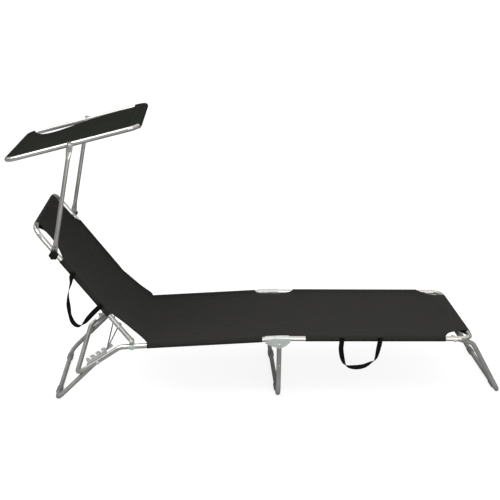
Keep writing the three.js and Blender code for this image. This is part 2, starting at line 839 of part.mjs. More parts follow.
const footLegTube = legTube(
  [footLegPivot, footLegKnee, footLegGround],
  [legHalfWidth, legHalfWidth, legHalfWidth],
  footLegOverhang,
  [footLegKneeRadius]
);
const braceEnds = [-1, 1].map((side) =>
  inSpace(footLegTopLine.at(footLegBraceLength), side * legHalfWidth)
);
const footLegBrace = rodBetween(...braceEnds, footLegBraceRadius);
addPiece("foot_leg_tube", join(footLegTube, footLegBrace), legMetal);
addPair("foot_leg_shoe", (side) => shoe(footLegGround, side), greyPlastic);

const legShimY = railInner - seatGap;
const railHeadY = railOuter + seatGap;
addPair(
  "head_leg_rivet",
  (side) => legRivet(headLegPivot, side, legHalfWidth, legShimY, railHeadY),
  zinc
);
addPair(
  "foot_leg_rivet",
  (side) => legRivet(footLegPivot, side, legHalfWidth, legShimY, railHeadY),
  zinc
);
addPair(
  "mid_joint_rivet",
  (side) =>
    legRivet(foldPivot, side, midLegTopHalfWidth, seatPlateInner - seatGap, footPlateOuter + seatGap),
  zinc
);

// Canopy arms with flattened ends, clamped to the backrest and carrying the canopy

const armInner = armHalfWidth - armFlatHalfThickness;
const armOuter = armHalfWidth + armFlatHalfThickness;
const knobInner = armOuter + seatGap;
const armFlat = { width: armFlatHalfWidth, thickness: armFlatHalfThickness, squareness: 0.4 };

function arm(side) {
  const reach = armFlatLength + armTaperLength;
  const stations = [
    [-armOverhang, armFlat],
    [armFlatLength, armFlat],
    [reach, {}],
    [armLength - reach, {}],
    [armLength - armFlatLength, armFlat],
    [armLength + armOverhang, armFlat],
  ].map(([along, form]) => ({
    point: inSpace(armLine.at(along), side * armHalfWidth),
    along: armLine.along,
    ...form,
  }));
  const holes = [knobCentre, canopyPivot].map((centre) => rivetHole(centre, side, armInner, armOuter));
  return cut(hollowTube(stations, armRadius, tubeWall), ...holes);
}

// The saddle fits round the outside of the backrest tube
function armSaddle(side) {
  const innerY = railOuter - saddleDepth;
  const block = pin(knobCentre, side, saddleRadius, innerY, armInner - seatGap);
  const [from, to] = [-1, 1].map((way) =>
    inSpace(backLine.at(knobAlong + way * 2 * saddleRadius), side * railHalfWidth)
  );
  const tubeRoom = rodBetween(from, to, (railRadius + seatGap) / facetFactor);
  return cut(block, tubeRoom, rivetHole(knobCentre, side, innerY, armInner));
}

const knobOuter = knobInner + knobBossThickness + knobThickness;
const boltEndY = knobInner + knobBossThickness + boltEngagement;

function starKnob(side) {
  const lobePoints = [];
  const count = knobLobes * knobSteps;
  for (let i = 0; i < count; i += 1) {
    const wave = (1 - Math.cos((i / knobSteps) * 2 * Math.PI)) / 2;
    const [c, s] = direction((i / count) * 360);
    const radius = knobRadius - knobLobeDepth * wave;
    lobePoints.push([knobCentre[0] + radius * c, knobCentre[1] + radius * s]);
  }
  const lobes = sidePlate(lobePoints, side, knobInner + knobBossThickness, knobOuter);
  const bossOuter = knobInner + knobBossThickness + knobThickness / 2;
  const boss = pin(knobCentre, side, knobBossRadius, knobInner, bossOuter);
  const bore = pin(
    knobCentre,
    side,
    rivetRadius + rivetHoleGap,
    knobInner - cutOverrun,
    boltEndY + boltEndGap
  );
  return cut(join(lobes, boss), bore);
}

addPair("canopy_arm", arm, metal);
addPair("arm_saddle", armSaddle, blackPlastic);
addPair("clamp_bolt", (side) => bolt(knobCentre, side, railInner - seatGap, boltEndY), zinc);
addPair("star_knob", starKnob, blackPlastic);

const canopyInner = canopyHalfWidth - canopyRadius;
const canopyOuter = canopyHalfWidth + canopyRadius;

function canopySpacer(side) {
  const [innerY, outerY] = [canopyOuter + seatGap, armInner - seatGap];
  const ring = pin(canopyPivot, side, spacerRadius, innerY, outerY);
  return cut(ring, rivetHole(canopyPivot, side, innerY, outerY));
}

function wingKnob(side) {
  const hubOuter = knobInner + wingHubThickness;
  const hub = pin(canopyPivot, side, wingHubRadius, knobInner, hubOuter);
  const half = wingThickness / 2;
  const [x, z] = canopyPivot;
  const wings = [
    ...arc([x + wingLength - half, z], half, -90, 90),
    ...arc([x - wingLength + half, z], half, 90, 270),
  ];
  const wingPlate = sidePlate(wings, side, knobInner + wingRise, hubOuter + wingRise);
  return cut(join(hub, wingPlate), rivetHole(canopyPivot, side, knobInner, hubOuter));
}

addPair("canopy_spacer", canopySpacer, blackPlastic);
addPiece(
  "canopy_tilt_rivet_near",
  rivet(canopyPivot, -1, canopyInner - seatGap, armOuter + seatGap),
  zinc
);
addPiece(
  "canopy_tilt_bolt_far",
  bolt(canopyPivot, 1, canopyInner - seatGap, knobInner + wingHubThickness),
  zinc
);
addPiece("wing_knob_far", wingKnob(1), blackPlastic);

// Canopy frame: a rectangle that butts in the middle of its head crossbar
const canopyCorners = [
  inSpace(canopyLine.at(-canopyHeadLength), -buttGap / 2),
  inSpace(canopyLine.at(-canopyHeadLength), -canopyHalfWidth),
  inSpace(canopyLine.at(canopyFootLength), -canopyHalfWidth),
  inSpace(canopyLine.at(canopyFootLength), canopyHalfWidth),
  inSpace(canopyLine.at(-canopyHeadLength), canopyHalfWidth),
  inSpace(canopyLine.at(-canopyHeadLength), buttGap / 2),
];
const canopyRadii = [1, 2, 3, 4].map(() => canopyCornerRadius);
const canopyPath = bentPath(canopyCorners, canopyRadii, canopyRadii.map(() => bendSteps));
const canopyHoles = onBothSides((side) => rivetHole(canopyPivot, side, canopyInner, canopyOuter));
const canopyTube = hollowTube(canopyPath, canopyRadius, tubeWall, canopyLine.normal);
addPiece("canopy_frame_tube", cut(canopyTube, ...canopyHoles), metal);

// Cloth

// A sheet across the lounger; each row has its place, half width and two heights
function sheet(line, rows) {
  const columns = Array.from({ length: sheetColumns + 1 }, (_, k) => (2 * k) / sheetColumns - 1);
  const section = ({ halfWidth, edge, middle }) => {
    const low = columns.map((q) => [q * halfWidth, edge + (middle - edge) * (1 - q * q)]);
    const high = low.map(([y, height]) => [y, height + clothThickness]).reverse();
    return [...low, ...high];
  };
  const sections = rows.map((row) =>
    section(row).map(([y, height]) => inSpace(line.at(row.along, height), y))
  );
  const flat = section({ halfWidth: railHalfWidth, edge: 0, middle: -slingSag });
  return loft(sections, flat);
}

const sleeveInner = railRadius + seatGap;
const sleeveOuter = sleeveInner + clothThickness;

function sleeve(line, side, from, to) {
  const start = inSpace(line.at(from), side * railHalfWidth);
  const ring = ringOutline(sleeveOuter, sleeveInner, 0);
  return prism(ring, start, across, line.normal, line.along, to - from);
}

function pocket(line, along, halfWidth) {
  const ring = ringOutline(sleeveOuter, sleeveInner, 0);
  const start = inSpace(line.at(along), -halfWidth);
  return prism(ring, start, line.along, line.normal, across, 2 * halfWidth);
}

// The cloth hangs less deep the nearer it is to a crossbar
function slingRow(along, inset, fromCrossbar = slingTautLength) {
  const tautShare = Math.sin((Math.min(1, fromCrossbar / slingTautLength) * Math.PI) / 2);
  const edge = sleeveInner;
  return { along, halfWidth: railHalfWidth - inset, edge, middle: edge - slingSag * tautShare };
}

const seatRows = [
  slingRow(buttGap / 2, jointNeckInset),
  slingRow(seatNeckLength, jointNeckInset),
  slingRow(seatSleeveLength, 0),
  ...seatHingeEdge.map(([distance, inset]) => slingRow(seatLength - distance, inset)),
];
const seatSleeves = onBothSides((side) =>
  sleeve(seatLine, side, seatSleeveLength, seatLength - seatHingeEdge[0][0])
);
addPiece("seat_sling", join(sheet(seatLine, seatRows), ...seatSleeves), fabric);

const footRows = [
  slingRow(buttGap / 2, jointNeckInset),
  slingRow(footNeckLength, jointNeckInset),
  slingRow(footSleeveLength, 0),
  slingRow(footLength - slingTautLength, 0),
  ...footEndEdge.map(([distance, inset]) => slingRow(footLength - distance, inset, distance)),
];
const footSleeves = onBothSides((side) =>
  sleeve(footLine, side, footSleeveLength, footLength - footEndEdge[0][0])
);
const footPocket = pocket(footLine, footLength, railHalfWidth - footEndEdge.at(-1)[1]);
addPiece("foot_sling", join(sheet(footLine, footRows), ...footSleeves, footPocket), fabric);

const backRows = [
  ...backHingeEdge.map(([distance, inset]) => slingRow(distance, inset)),
  ...backTopEdge.map(([distance, inset]) => slingRow(backrestLength - distance, inset, distance)),
];
const backSleeves = onBothSides((side) =>
  sleeve(backLine, side, backHingeEdge.at(-1)[0], backrestLength - backTopEdge[0][0])
);
const backPocket = pocket(backLine, backrestLength, railHalfWidth - backTopEdge.at(-1)[1]);
addPiece("backrest_sling", join(sheet(backLine, backRows), ...backSleeves, backPocket), fabric);

// The canopy cloth wraps both crossbars and their corners, and its free sides are hollow
const capInner = canopyRadius + seatGap;
const capMiddle = capInner + clothThickness / 2;
const canopyMiddle = (canopyFootLength - canopyHeadLength) / 2;
const canopyHalfLength = (canopyFootLength + canopyHeadLength) / 2;

function canopyRow(along) {
  const t = (along - canopyMiddle) / canopyHalfLength;
  const hang = canopySag * (1 - t * t) ** 2;
  const height = capInner - hang;
  const fromBar = canopyHalfLength - Math.abs(along - canopyMiddle);
  const middleHeight = Math.min(capMiddle, height + clothThickness / 2);
  const wrapInset = Math.sqrt(Math.max(0, capMiddle ** 2 - Math.max(0, middleHeight) ** 2));
  const freeShare = 1 - (t / (1 - (canopyCornerRadius + canopySleeveLength) / canopyHalfLength)) ** 2;
  let halfWidth = canopyHalfWidth - capInner - canopyEdgeGap - canopySideInset * freeShare;
  if (fromBar <= canopyCornerRadius + canopySleeveLength) {
    const fromArc = Math.max(0, canopyCornerRadius - fromBar);
    const reach = Math.max(0, (canopyCornerRadius - wrapInset) ** 2 - fromArc ** 2);
    halfWidth = canopyHalfWidth - canopyCornerRadius + Math.sqrt(reach);
  }
  return { along, halfWidth, edge: height, middle: height };
}

const capShares = [0, 0.14, 0.34, 0.62, 1];
const capAlongs = capShares.map((share) => canopyCornerRadius * share);
const capEnd = canopyCornerRadius + canopySleeveLength;
const headAlongs = [...capAlongs, capEnd].map((reach) => reach - canopyHeadLength);
const footAlongs = [...capAlongs, capEnd].map((reach) => canopyFootLength - reach).reverse();
const freeAlongs = Array.from({ length: canopyRows }, (_, i) => {
  const first = headAlongs.at(-1) + canopyCornerRadius / 2;
  const last = footAlongs[0] - canopyCornerRadius / 2;
  return first + ((last - first) * i) / (canopyRows - 1);
});
const canopySheet = sheet(canopyLine, [...headAlongs, ...freeAlongs, ...footAlongs].map(canopyRow));

// A cloth cap runs from one side tube round both corners of a crossbar to the other side tube
function canopyCap(barAlong, way) {
  const open = canopyLine.at(barAlong - way * (canopyCornerRadius + canopySleeveLength));
  const bar = canopyLine.at(barAlong);
  const points = [
    inSpace(open, -canopyHalfWidth),
    inSpace(bar, -canopyHalfWidth),
    inSpace(bar, canopyHalfWidth),
    inSpace(open, canopyHalfWidth),
  ];
  const radii = [canopyCornerRadius, canopyCornerRadius];
  const path = bentPath(points, radii, [bendSteps, bendSteps]);
  return hollowTube(path, capInner + clothThickness, clothThickness, across);
}

const caps = [canopyCap(-canopyHeadLength, -1), canopyCap(canopyFootLength, 1)];
addPiece("canopy_cloth", join(canopySheet, ...caps), fabric);

// Carry straps: each hangs in a loop, flat on the sleeve at its ends and turned at its lowest point

function strap(line, start, length, drop, lowShare) {
  const [first, second] = [line.at(start), line.at(start + length)];
  const low = [between(first, second, lowShare)[0], Math.min(first[1], second[1]) - drop];
  const [xShare, heightShare] = strapTurnShares;
  const branch = (end) => {
    const turnPoint = [between(end, low, xShare)[0], between(end, low, heightShare)[1]];
    return [[end[0], end[1] + strapTab], [end[0], end[1] - strapTab], turnPoint];
  };
  const places = [...branch(first), low, ...branch(second).reverse()];
  const curve = new THREE.CatmullRomCurve3(places.map((place) => inSpace(place, 0)));
  const sections = [];
  for (let i = 0; i <= strapSteps; i += 1) {
    const centre = curve.getPointAt(i / strapSteps);
    const tangent = curve.getTangentAt(i / strapSteps);
    const [c, s] = direction(90 * Math.sin((i / strapSteps) * Math.PI));
    const wide = new THREE.Vector3(-tangent.z * c, s, tangent.x * c);
    const thick = tangent.clone().cross(wide).normalize();
    const clear = sleeveOuter + seatGap + (strapThickness * c + strapWidth * s) / 2;
    centre.y = -(railHalfWidth + clear);
    const corner = (wideShare, thickShare) => {
      const point = centre.clone().addScaledVector(wide, wideShare * strapWidth);
      return point.addScaledVector(thick, thickShare * strapThickness);
    };
    sections.push([corner(-0.5, -0.5), corner(0.5, -0.5), corner(0.5, 0.5), corner(-0.5, 0.5)]);
  }
  return loft(sections, [[-1, -1], [1, -1], [1, 1], [-1, 1]]);
}

addPiece(
  "foot_carry_strap",
  strap(footLine, footStrapStart, footStrapLength, footStrapDrop, footStrapLowShare),
  webbing
);
addPiece(
  "backrest_carry_strap",
  strap(backLine, backStrapStart, backStrapLength, backStrapDrop, backStrapLowShare),
  webbing
);

// The origin is the middle of the footprint on the ground
const bounds = new THREE.Box3().setFromObject(lounger);
const middle = bounds.getCenter(new THREE.Vector3());
for (const piece of lounger.children) piece.geometry.translate(-middle.x, 0, 0);

export default lounger;
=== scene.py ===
# %% [markdown]
# # A folding sun lounger with a canopy
#
# The real lounger is cloth stretched on bent tubes, with a small canopy on two arms. Its metal
# parts are already made as solids, and they are loaded here as a fixed frame. What this script
# adds is everything soft, the seams, and the finish of every surface. Lengths are metres.

import json
import math

import bmesh
import bpy
from mathutils import Matrix, Vector
from mathutils.bvhtree import BVHTree


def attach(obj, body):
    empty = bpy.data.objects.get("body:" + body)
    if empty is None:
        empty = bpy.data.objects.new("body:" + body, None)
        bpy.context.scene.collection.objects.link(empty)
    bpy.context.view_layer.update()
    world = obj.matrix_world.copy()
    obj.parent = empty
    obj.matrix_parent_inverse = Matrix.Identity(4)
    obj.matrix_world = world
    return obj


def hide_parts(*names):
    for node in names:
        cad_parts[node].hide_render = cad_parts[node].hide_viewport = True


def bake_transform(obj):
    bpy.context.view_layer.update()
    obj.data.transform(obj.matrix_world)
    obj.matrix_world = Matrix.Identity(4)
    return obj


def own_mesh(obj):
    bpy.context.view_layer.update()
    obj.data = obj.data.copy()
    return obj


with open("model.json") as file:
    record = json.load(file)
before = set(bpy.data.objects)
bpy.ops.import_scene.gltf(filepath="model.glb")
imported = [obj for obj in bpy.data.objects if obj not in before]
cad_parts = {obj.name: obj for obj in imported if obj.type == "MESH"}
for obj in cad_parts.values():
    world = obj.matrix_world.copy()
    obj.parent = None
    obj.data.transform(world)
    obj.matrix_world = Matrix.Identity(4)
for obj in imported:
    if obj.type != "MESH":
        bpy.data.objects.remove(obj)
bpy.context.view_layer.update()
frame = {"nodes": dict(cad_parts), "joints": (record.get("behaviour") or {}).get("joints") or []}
joints = {joint["name"]: Vector(joint["pos_m"]) for joint in frame["joints"]}

# %% [markdown]
# The camera stands where the photographer stood. Its place was worked out from the tube edges,
# so that the rails of the model lie on the rails of the picture. It looks down by 16 degrees
# from the near side, a little towards the foot end.

# %% Camera
YAW, PITCH, ROLL = 0.046647, 0.279905, 0.002491
CAMERA_PLACE = (-0.221358, -3.936742, 1.649206)
SENSOR_MM, LENS_MM = 36, 75.2433


def in_scene(name, data):
    made = bpy.data.objects.new(name, data)
    bpy.context.scene.collection.objects.link(made)
    return made


look = Vector((math.sin(YAW) * math.cos(PITCH), math.cos(YAW) * math.cos(PITCH), -math.sin(PITCH)))
level_right = Vector((math.cos(YAW), -math.sin(YAW), 0))
level_up = level_right.cross(look)
camera_right = level_right * math.cos(ROLL) + level_up * math.sin(ROLL)
camera_up = level_up * math.cos(ROLL) - level_right * math.sin(ROLL)
camera = in_scene("photo_camera", bpy.data.cameras.new("photo_camera"))
camera.matrix_world = Matrix((camera_right, camera_up, -look)).transposed().to_4x4()
camera.location = CAMERA_PLACE
camera.data.sensor_width = SENSOR_MM
camera.data.lens = LENS_MM
bpy.context.scene.camera = camera
print("camera looks along", [round(value, 3) for value in look])

# %% [markdown]
# Every sling follows the straight axes of the tubes that carry it. A small class holds such an
# axis in side view: a start, the way along it, and the way up from it. The joints give the
# starts, so the cloth lands on the tubes without any fitting by eye.

# %% Axes of the tubes in side view
RAIL_Y = 0.280
RAIL_RADIUS = 0.0095
SEAT_LENGTH, FOOT_LENGTH, BACK_LENGTH = 0.551, 0.729, 0.549
SEAT_SLOPE, FOOT_SLOPE, BACK_LEAN, CANOPY_SLOPE = 2.4, -0.9, 52.3, 14.15
PIVOT_TO_RAIL = 0.022


class Axis:
    def __init__(self, start, degrees, way_up):
        turn = math.radians(degrees)
        self.start = Vector((start.x, 0, start.z))
        self.along = Vector((math.cos(turn), 0, math.sin(turn)))
        self.up = way_up * Vector((-math.sin(turn), 0, math.cos(turn)))

    def at(self, distance, height=0):
        return self.start + self.along * distance + self.up * height


middle_joint = joints["foot_section_fold"] + Vector((0, 0, PIVOT_TO_RAIL))
seat_axis = Axis(middle_joint, 180 + SEAT_SLOPE, -1)
foot_axis = Axis(middle_joint, FOOT_SLOPE, 1)
back_axis = Axis(joints["backrest_recline"], 180 - BACK_LEAN, -1)
canopy_axis = Axis(joints["canopy_tilt"], CANOPY_SLOPE, 1)
print("top of the backrest:", [round(value, 4) for value in back_axis.at(BACK_LENGTH)])

# %% [markdown]
# Node trees read better as arithmetic and calls than as lists of links. The Wire class stands
# for one socket and turns +, -, * and / into Math nodes. The Nodes class makes any other node
# from its type, its settings and the values of its sockets. A Finish is one material.

# %% Shader helpers
class Wire:
    def __init__(self, finish, socket):
        self.finish, self.socket = finish, socket

    def maths(self, operation, *values):
        return self.finish.node("ShaderNodeMath", {"operation": operation}, dict(enumerate(values)))

    def __add__(self, other):
        return self.maths("ADD", self, other)

    def __sub__(self, other):
        return self.maths("SUBTRACT", self, other)

    def __rsub__(self, other):
        return self.maths("SUBTRACT", other, self)

    def __mul__(self, other):
        return self.maths("MULTIPLY", self, other)

    def __truediv__(self, other):
        return self.maths("DIVIDE", self, other)

    __radd__ = __add__
    __rmul__ = __mul__

    def wave(self):
        return self.maths("SINE", self)

    def step_over(self, low, high):
        settings = {"interpolation_type": "SMOOTHSTEP"}
        return self.finish.node("ShaderNodeMapRange", settings, {0: self, 1: low, 2: high})


class Nodes:
    def put(self, socket, value):
        if isinstance(value, Wire):
            self.tree.links.new(value.socket, socket)
        else:
            socket.default_value = value

    def node(self, kind, settings=None, sockets=None, output=0):
        made = self.tree.nodes.new(kind)
        for name, value in (settings or {}).items():
            setattr(made, name, value)
        for name, value in (sockets or {}).items():
            self.put(made.inputs[name], value)
        return Wire(self, made.outputs[output])

    def spot(self, *values):
        return self.node("ShaderNodeCombineXYZ", None, dict(enumerate(values)))

    def split(self, vector):
        made = self.tree.nodes.new("ShaderNodeSeparateXYZ")
        self.put(made.inputs[0], vector)
        return [Wire(self, output) for output in made.outputs]


class Finish(Nodes):
    def __init__(self, name, **fixed):
        self.material = bpy.data.materials.new(name)
        self.material.use_nodes = True
        self.tree = self.material.node_tree
        self.shader = self.tree.nodes["Principled BSDF"]
        self.shade(**fixed)

    def shade(self, **sockets):
        for name, value in sockets.items():
            self.put(self.shader.inputs[name.replace("_", " ")], value)
        return self.material

    def place(self):
        return self.node("ShaderNodeTexCoord", output=3)

    def noise(self, place, scale, detail=3, roughness=0.5):
        sockets = {"Vector": place, "Scale": scale, "Detail": detail, "Roughness": roughness}
        return self.node("ShaderNodeTexNoise", None, sockets)

    def mix(self, share, first, second):
        sockets = {0: share, 6: first, 7: second}
        return self.node("ShaderNodeMix", {"data_type": "RGBA"}, sockets, 2)

    def bump(self, height, distance, strength=1.0, under=None):
        sockets = {"Height": height, "Distance": distance, "Strength": strength}
        if under:
            sockets["Normal"] = under
        return self.node("ShaderNodeBump", None, sockets)

    def ray_kinds(self):
        """Whether a ray comes from the camera, from a reflection or through clear matter."""
        path = self.tree.nodes.new("ShaderNodeLightPath")
        kinds = ("Is Camera Ray", "Is Glossy Ray", "Is Transmission Ray")
        return [Wire(self, path.outputs[kind]) for kind in kinds]


def colour(hex_text):
    """A web colour as the linear light that the shader works with."""
    parts = [int(hex_text[i : i + 2], 16) / 255 for i in (0, 2, 4)]
    linear = [p / 12.92 if p <= 0.04045 else ((p + 0.055) / 1.055) ** 2.4 for p in parts]
    return (*linear, 1)


print("mid grey 8b8b88 in linear light:", [round(value, 3) for value in colour("8b8b88")])

# %% [markdown]
# The frame tubes are steel with a smooth silver finish. It has slow patches where the lacquer is
# thicker, a fine grain, and small scuffs. Three noises at different scales give these.

# %% Frame tubes
def tube_finish():
    finish = Finish("silver_tube", Metallic=0.9, IOR=1.5)
    place = finish.place()
    patches = finish.noise(place, 9, 2)
    grain = finish.noise(place, 420, 2)
    scuffs = finish.noise(place, 95, 6, 0.7).step_over(0.62, 0.74)
    base = finish.mix(patches.step_over(0.3, 0.7), colour("c1bfbb"), colour("d1cfca"))
    base = finish.mix(scuffs * 0.5, base, colour("a3a19d"))
    rough = 0.2 + patches * 0.1 + scuffs * 0.16 + grain * 0.05
    return finish.shade(Base_Color=base, Roughness=rough, Normal=finish.bump(grain, 0.0001, 0.35))


silver_tube = tube_finish()
print("made", silver_tube.name)

# %% [markdown]
# The legs are sprayed with matt grey paint. Its orange-peel surface is a fine bump, and small
# scattered spots of the paint are rubbed a little lighter and smoother.

# %% Painted legs
def leg_finish():
    finish = Finish("grey_leg_paint", Metallic=0.25, IOR=1.45)
    place = finish.place()
    peel = finish.noise(place, 900, 2)
    patches = finish.noise(place, 14, 3)
    rubbed = finish.noise(place, 60, 5, 0.65).step_over(0.66, 0.78)
    base = finish.mix(patches.step_over(0.3, 0.75), colour("989895"), colour("ababa8"))
    base = finish.mix(rubbed * 0.45, base, colour("bdbcb8"))
    rough = 0.5 + patches * 0.12 - rubbed * 0.12
    return finish.shade(Base_Color=base, Roughness=rough, Normal=finish.bump(peel, 0.00015, 0.5))


leg_paint = leg_finish()
print("made", leg_paint.name)

# %% [markdown]
# Plates, rivets and bolts are zinc plated, the plates with a pale green passivation. The plating
# is a little uneven, which a Voronoi pattern and a noise give. The wire bail is drawn and plated,
# and its finish is plainer and smoother.

# %% Zinc and wire
def zinc_finish(name, dark, light, metal):
    finish = Finish(name, Metallic=metal)
    place = finish.place()
    cells = finish.node("ShaderNodeTexVoronoi", None, {"Vector": place, "Scale": 260.0})
    smudge = finish.noise(place, 38, 4, 0.6)
    base = finish.mix(cells, colour(dark), colour(light))
    base = finish.mix(smudge.step_over(0.45, 0.8) * 0.5, base, colour("9aa39e"))
    rough = 0.3 + cells * 0.16 + smudge * 0.1
    return finish.shade(Base_Color=base, Roughness=rough, Normal=finish.bump(smudge, 0.0002, 0.25))


def wire_finish():
    finish = Finish("plated_wire", Metallic=0.85)
    place = finish.place()
    drawn = finish.noise(place, 300, 3)
    base = finish.mix(drawn.step_over(0.3, 0.7), colour("989896"), colour("b3b3b0"))
    return finish.shade(Base_Color=base, Roughness=0.25 + drawn * 0.15)


green_zinc = zinc_finish("passivated_zinc", "bac8c0", "d3ddd7", 0.3)
bright_zinc = zinc_finish("bright_zinc", "c6c8c6", "e0e1df", 0.6)
plated_wire = wire_finish()
print("made", [finish.name for finish in (green_zinc, bright_zinc, plated_wire)])

# %% [markdown]
# Knobs are moulded black plastic with a fine grain, and the shoes are the same in grey. Handling
# polishes the high spots, so a slow noise varies the gloss over the grain.

# %% Moulded plastic
def plastic_finish(name, dark, light, grain_scale, gloss):
    finish = Finish(name, IOR=1.46, Specular_IOR_Level=gloss)
    place = finish.place()
    grain = finish.noise(place, grain_scale, 2)
    handled = finish.noise(place, 45, 3)
    base = finish.mix(handled.step_over(0.35, 0.8), colour(dark), colour(light))
    rough = 0.38 + handled * 0.14 + grain * 0.06
    return finish.shade(Base_Color=base, Roughness=rough, Normal=finish.bump(grain, 0.00012, 0.6))


black_plastic = plastic_finish("black_knob_plastic", "080808", "121211", 1500, 0.25)
grey_plastic = plastic_finish("grey_shoe_plastic", "7f7f7d", "8b8b89", 1300, 0.5)
print("made", black_plastic.name, "and", grey_plastic.name)

# %% [markdown]
# The slings are a plain weave of thick polyester yarn, nearly black. Each mesh has a UV map in
# metres, laid along and across the cloth, so the yarns stay the same size everywhere and turn
# with the cloth. Two sine waves make the over-and-under of the yarns, and stretched noise makes
# some yarns a little thicker or paler than their neighbours. A slower one makes the long, faint
# folds that a pull leaves.

# %% Woven cloth and webbing
FOLD_DEPTH = 0.006


def cloth_finish(name, dark, light, gloss=0.06, yarn=0.0011, twill=0.0, relief=0.00022):
    sheen = {"Sheen_Weight": 0.02, "Sheen_Roughness": 0.5}
    finish = Finish(name, IOR=1.42, Specular_IOR_Level=gloss, **sheen)
    laid = finish.node("ShaderNodeUVMap", {"uv_map": "laid"})
    along, across, _ = finish.split(laid)
    turns = 2 * math.pi / yarn
    over = ((along + across * twill) * turns).wave() * (across * turns).wave()
    streak_along = finish.noise(finish.spot(along * 40, across * 2600), 1, 2)
    streak_across = finish.noise(finish.spot(along * 2600, across * 40), 1, 2)
    worn = finish.noise(finish.spot(along, across), 7, 4, 0.6)
    light_share = streak_along * 0.35 + streak_across * 0.35 + worn * 0.5 + over * 0.12 - 0.1
    base = finish.mix(light_share, colour(dark), colour(light))
    height = over * 0.5 + streak_along * 0.3 + streak_across * 0.3
    rough = 0.62 + worn * 0.16
    pulled = finish.noise(finish.spot(along * 2.2, across * 26), 1, 3, 0.6)
    weave = finish.bump(height, relief, 0.7, finish.bump(pulled, FOLD_DEPTH, 0.6))
    return finish.shade(Base_Color=base, Roughness=rough, Normal=weave)


sling_cloth = cloth_finish("sling_weave", "232320", "3a3936")
# The canopy takes a darker copy of the sling cloth with no gloss: that extra darkness is painted
# shade.
canopy_weave = cloth_finish("canopy_weave", "1b1d19", "2f312b", 0.0)
webbing = cloth_finish("strap_webbing", "070707", "161615", 0.1, 0.0016, 1.0, 0.0004)
# The seam thread is paler than the cloth, partly its own colour and partly a painted highlight: the
# light line that a seam catches.
thread = cloth_finish("seam_thread", "403f3b", "53524d", 0.2, 0.0008, 2.0, 0.0001)
print("made", [finish.name for finish in (sling_cloth, canopy_weave, webbing, thread)])

# %% [markdown]
# The material that each solid comes with names the finish that it should take. Here that name is
# looked up, and the matching material takes its place. The joint brackets and hinge plates are
# greener than the small fittings. The solids are never moved or reshaped.

# %% Dress the solids
FINISH_OF = {
    "frame_tube": silver_tube,
    "leg_tube": leg_paint,
    "zinc": bright_zinc,
    "wire": plated_wire,
    "fabric": sling_cloth,
    "webbing": webbing,
    "black_plastic": black_plastic,
    "grey_plastic": grey_plastic,
}
GREEN_PIECES = ("foot_joint_bracket", "backrest_hinge")


def finish_of(node):
    words = [material.name for material in node.data.materials if material]
    found = [FINISH_OF[slot] for slot in FINISH_OF for word in words if word.startswith(slot)]
    return green_zinc if node.name.startswith(GREEN_PIECES) else found[0]


for node in frame["nodes"].values():
    material = finish_of(node)
    node.data.materials.clear()
    node.data.materials.append(material)
print("dressed", len(frame["nodes"]), "solids")

# %% [markdown]
# ## The slings
#
# One long cloth runs from the top of the backrest to the foot end. Each side has a sleeve that
# holds the rail: the edge goes over the tube, round it and back under, and is sewn to the cloth
# 33 mm inside. Seen from the end that is a teardrop. Cloth simulation would need pins at every
# seam to keep this, and a tight sling hardly hangs, so each cross-section is worked out instead.

# %% The teardrop section of a sleeve
CLOTH = 0.0009
EASE, LAYER_GAP = 0.0005, 0.0002
WRAP = RAIL_RADIUS + EASE + CLOTH / 2
SEAM = 0.033
ALLOWANCE = 0.008
ARC_STEPS = 12
TAIL_SHARES = (0.35, 0.7, 1)


def teardrop(seam_height, wrap=WRAP, reach=SEAM):
    """Points from where the cloth meets the tube, round it and back under to the seam."""
    away = math.hypot(reach, seam_height)
    toward = math.atan2(seam_height, -reach)
    opening = math.acos(wrap / away)
    first, last = toward - opening, toward + opening - 2 * math.pi
    turns = [first + (last - first) * i / ARC_STEPS for i in range(ARC_STEPS + 1)]
    points = [(wrap * math.cos(turn), wrap * math.sin(turn)) for turn in turns]
    low_seam = (-reach, seam_height - CLOTH - LAYER_GAP)
    tail = [tuple(a + (b - a) * s for a, b in zip(points[-1], low_seam)) for s in TAIL_SHARES]
    return points + tail + [(-reach - ALLOWANCE, low_seam[1])]


print("a sleeve takes", len(teardrop(0)), "points")

# %% [markdown]
# The whole cloth is a list of rows from the backrest's top to the foot end. A row knows the
# point of the tube axis it belongs to, how far its edge lies inside the rail, and how high the
# cloth is at its edge, its seam and its middle. Near the backrest hinge the cloth leaves the
# tubes and bridges the inner angle in a straight line, as tight cloth does.
#
# The tables hold the rows without a sleeve, in millimetres: distance from the tube's end or the
# joint, then the inset and the heights of edge, seam and middle.

# %% Rows of the long cloth
def in_metres(table):
    return [[round(value / 1000, 6) for value in line] for line in table]


BACK_TOP = in_metres([
    (33, 64, 8.5, 7.5, 7.3), (50, 64, 9, 7, 5), (70, 62, 10, 6, 3),
    (88, 58, 10, 5, 1), (106, 53, 10, 4, -1), (124, 40, 10, 3, -3),
    (136, 28, 10, 2, -4), (143, 16, 10, 2, -4), (147, 7, 10, 1, -5),
])
JOINT_GAP = in_metres([
    (-59, 10, 6, 0, -7), (-50, 15, 2, -1, -8), (-34, 18, -1, -3, -9),
    (-16, 22, -2, -4, -10), (0, 24, -2.5, -4, -10), (16, 23, -2.5, -4, -10),
    (32, 20, -2, -3, -9), (48, 17, -1, -3, -9), (63, 15, 0, -2, -8),
    (78, 14, 2, -1, -8), (91, 11, 5, 0, -7),
])
FOOT_END = in_metres([
    (99, 6, 10, 1, -6.8), (95, 14, 10, 1, -6.2), (89, 26, 10, 2, -5),
    (80, 38, 10, 3, -3.5), (67, 50, 9, 4, -0.8), (50, 60, 8, 5.5, 3),
    (33, 67, 7.5, 6.5, 6.3),
])
BACK_SLEEVE = (BACK_LENGTH - 0.149, 0.132)
SEAT_SLEEVE = (SEAT_LENGTH - 0.056, 0.064)
FOOT_SLEEVE = (0.098, FOOT_LENGTH - 0.101)
SLEEVE_STEP = 0.019
CHORD_STEPS = 12
CHORD_INSET, CHORD_WAIST, WAIST_POWER = 0.003, 0.012, 0.7
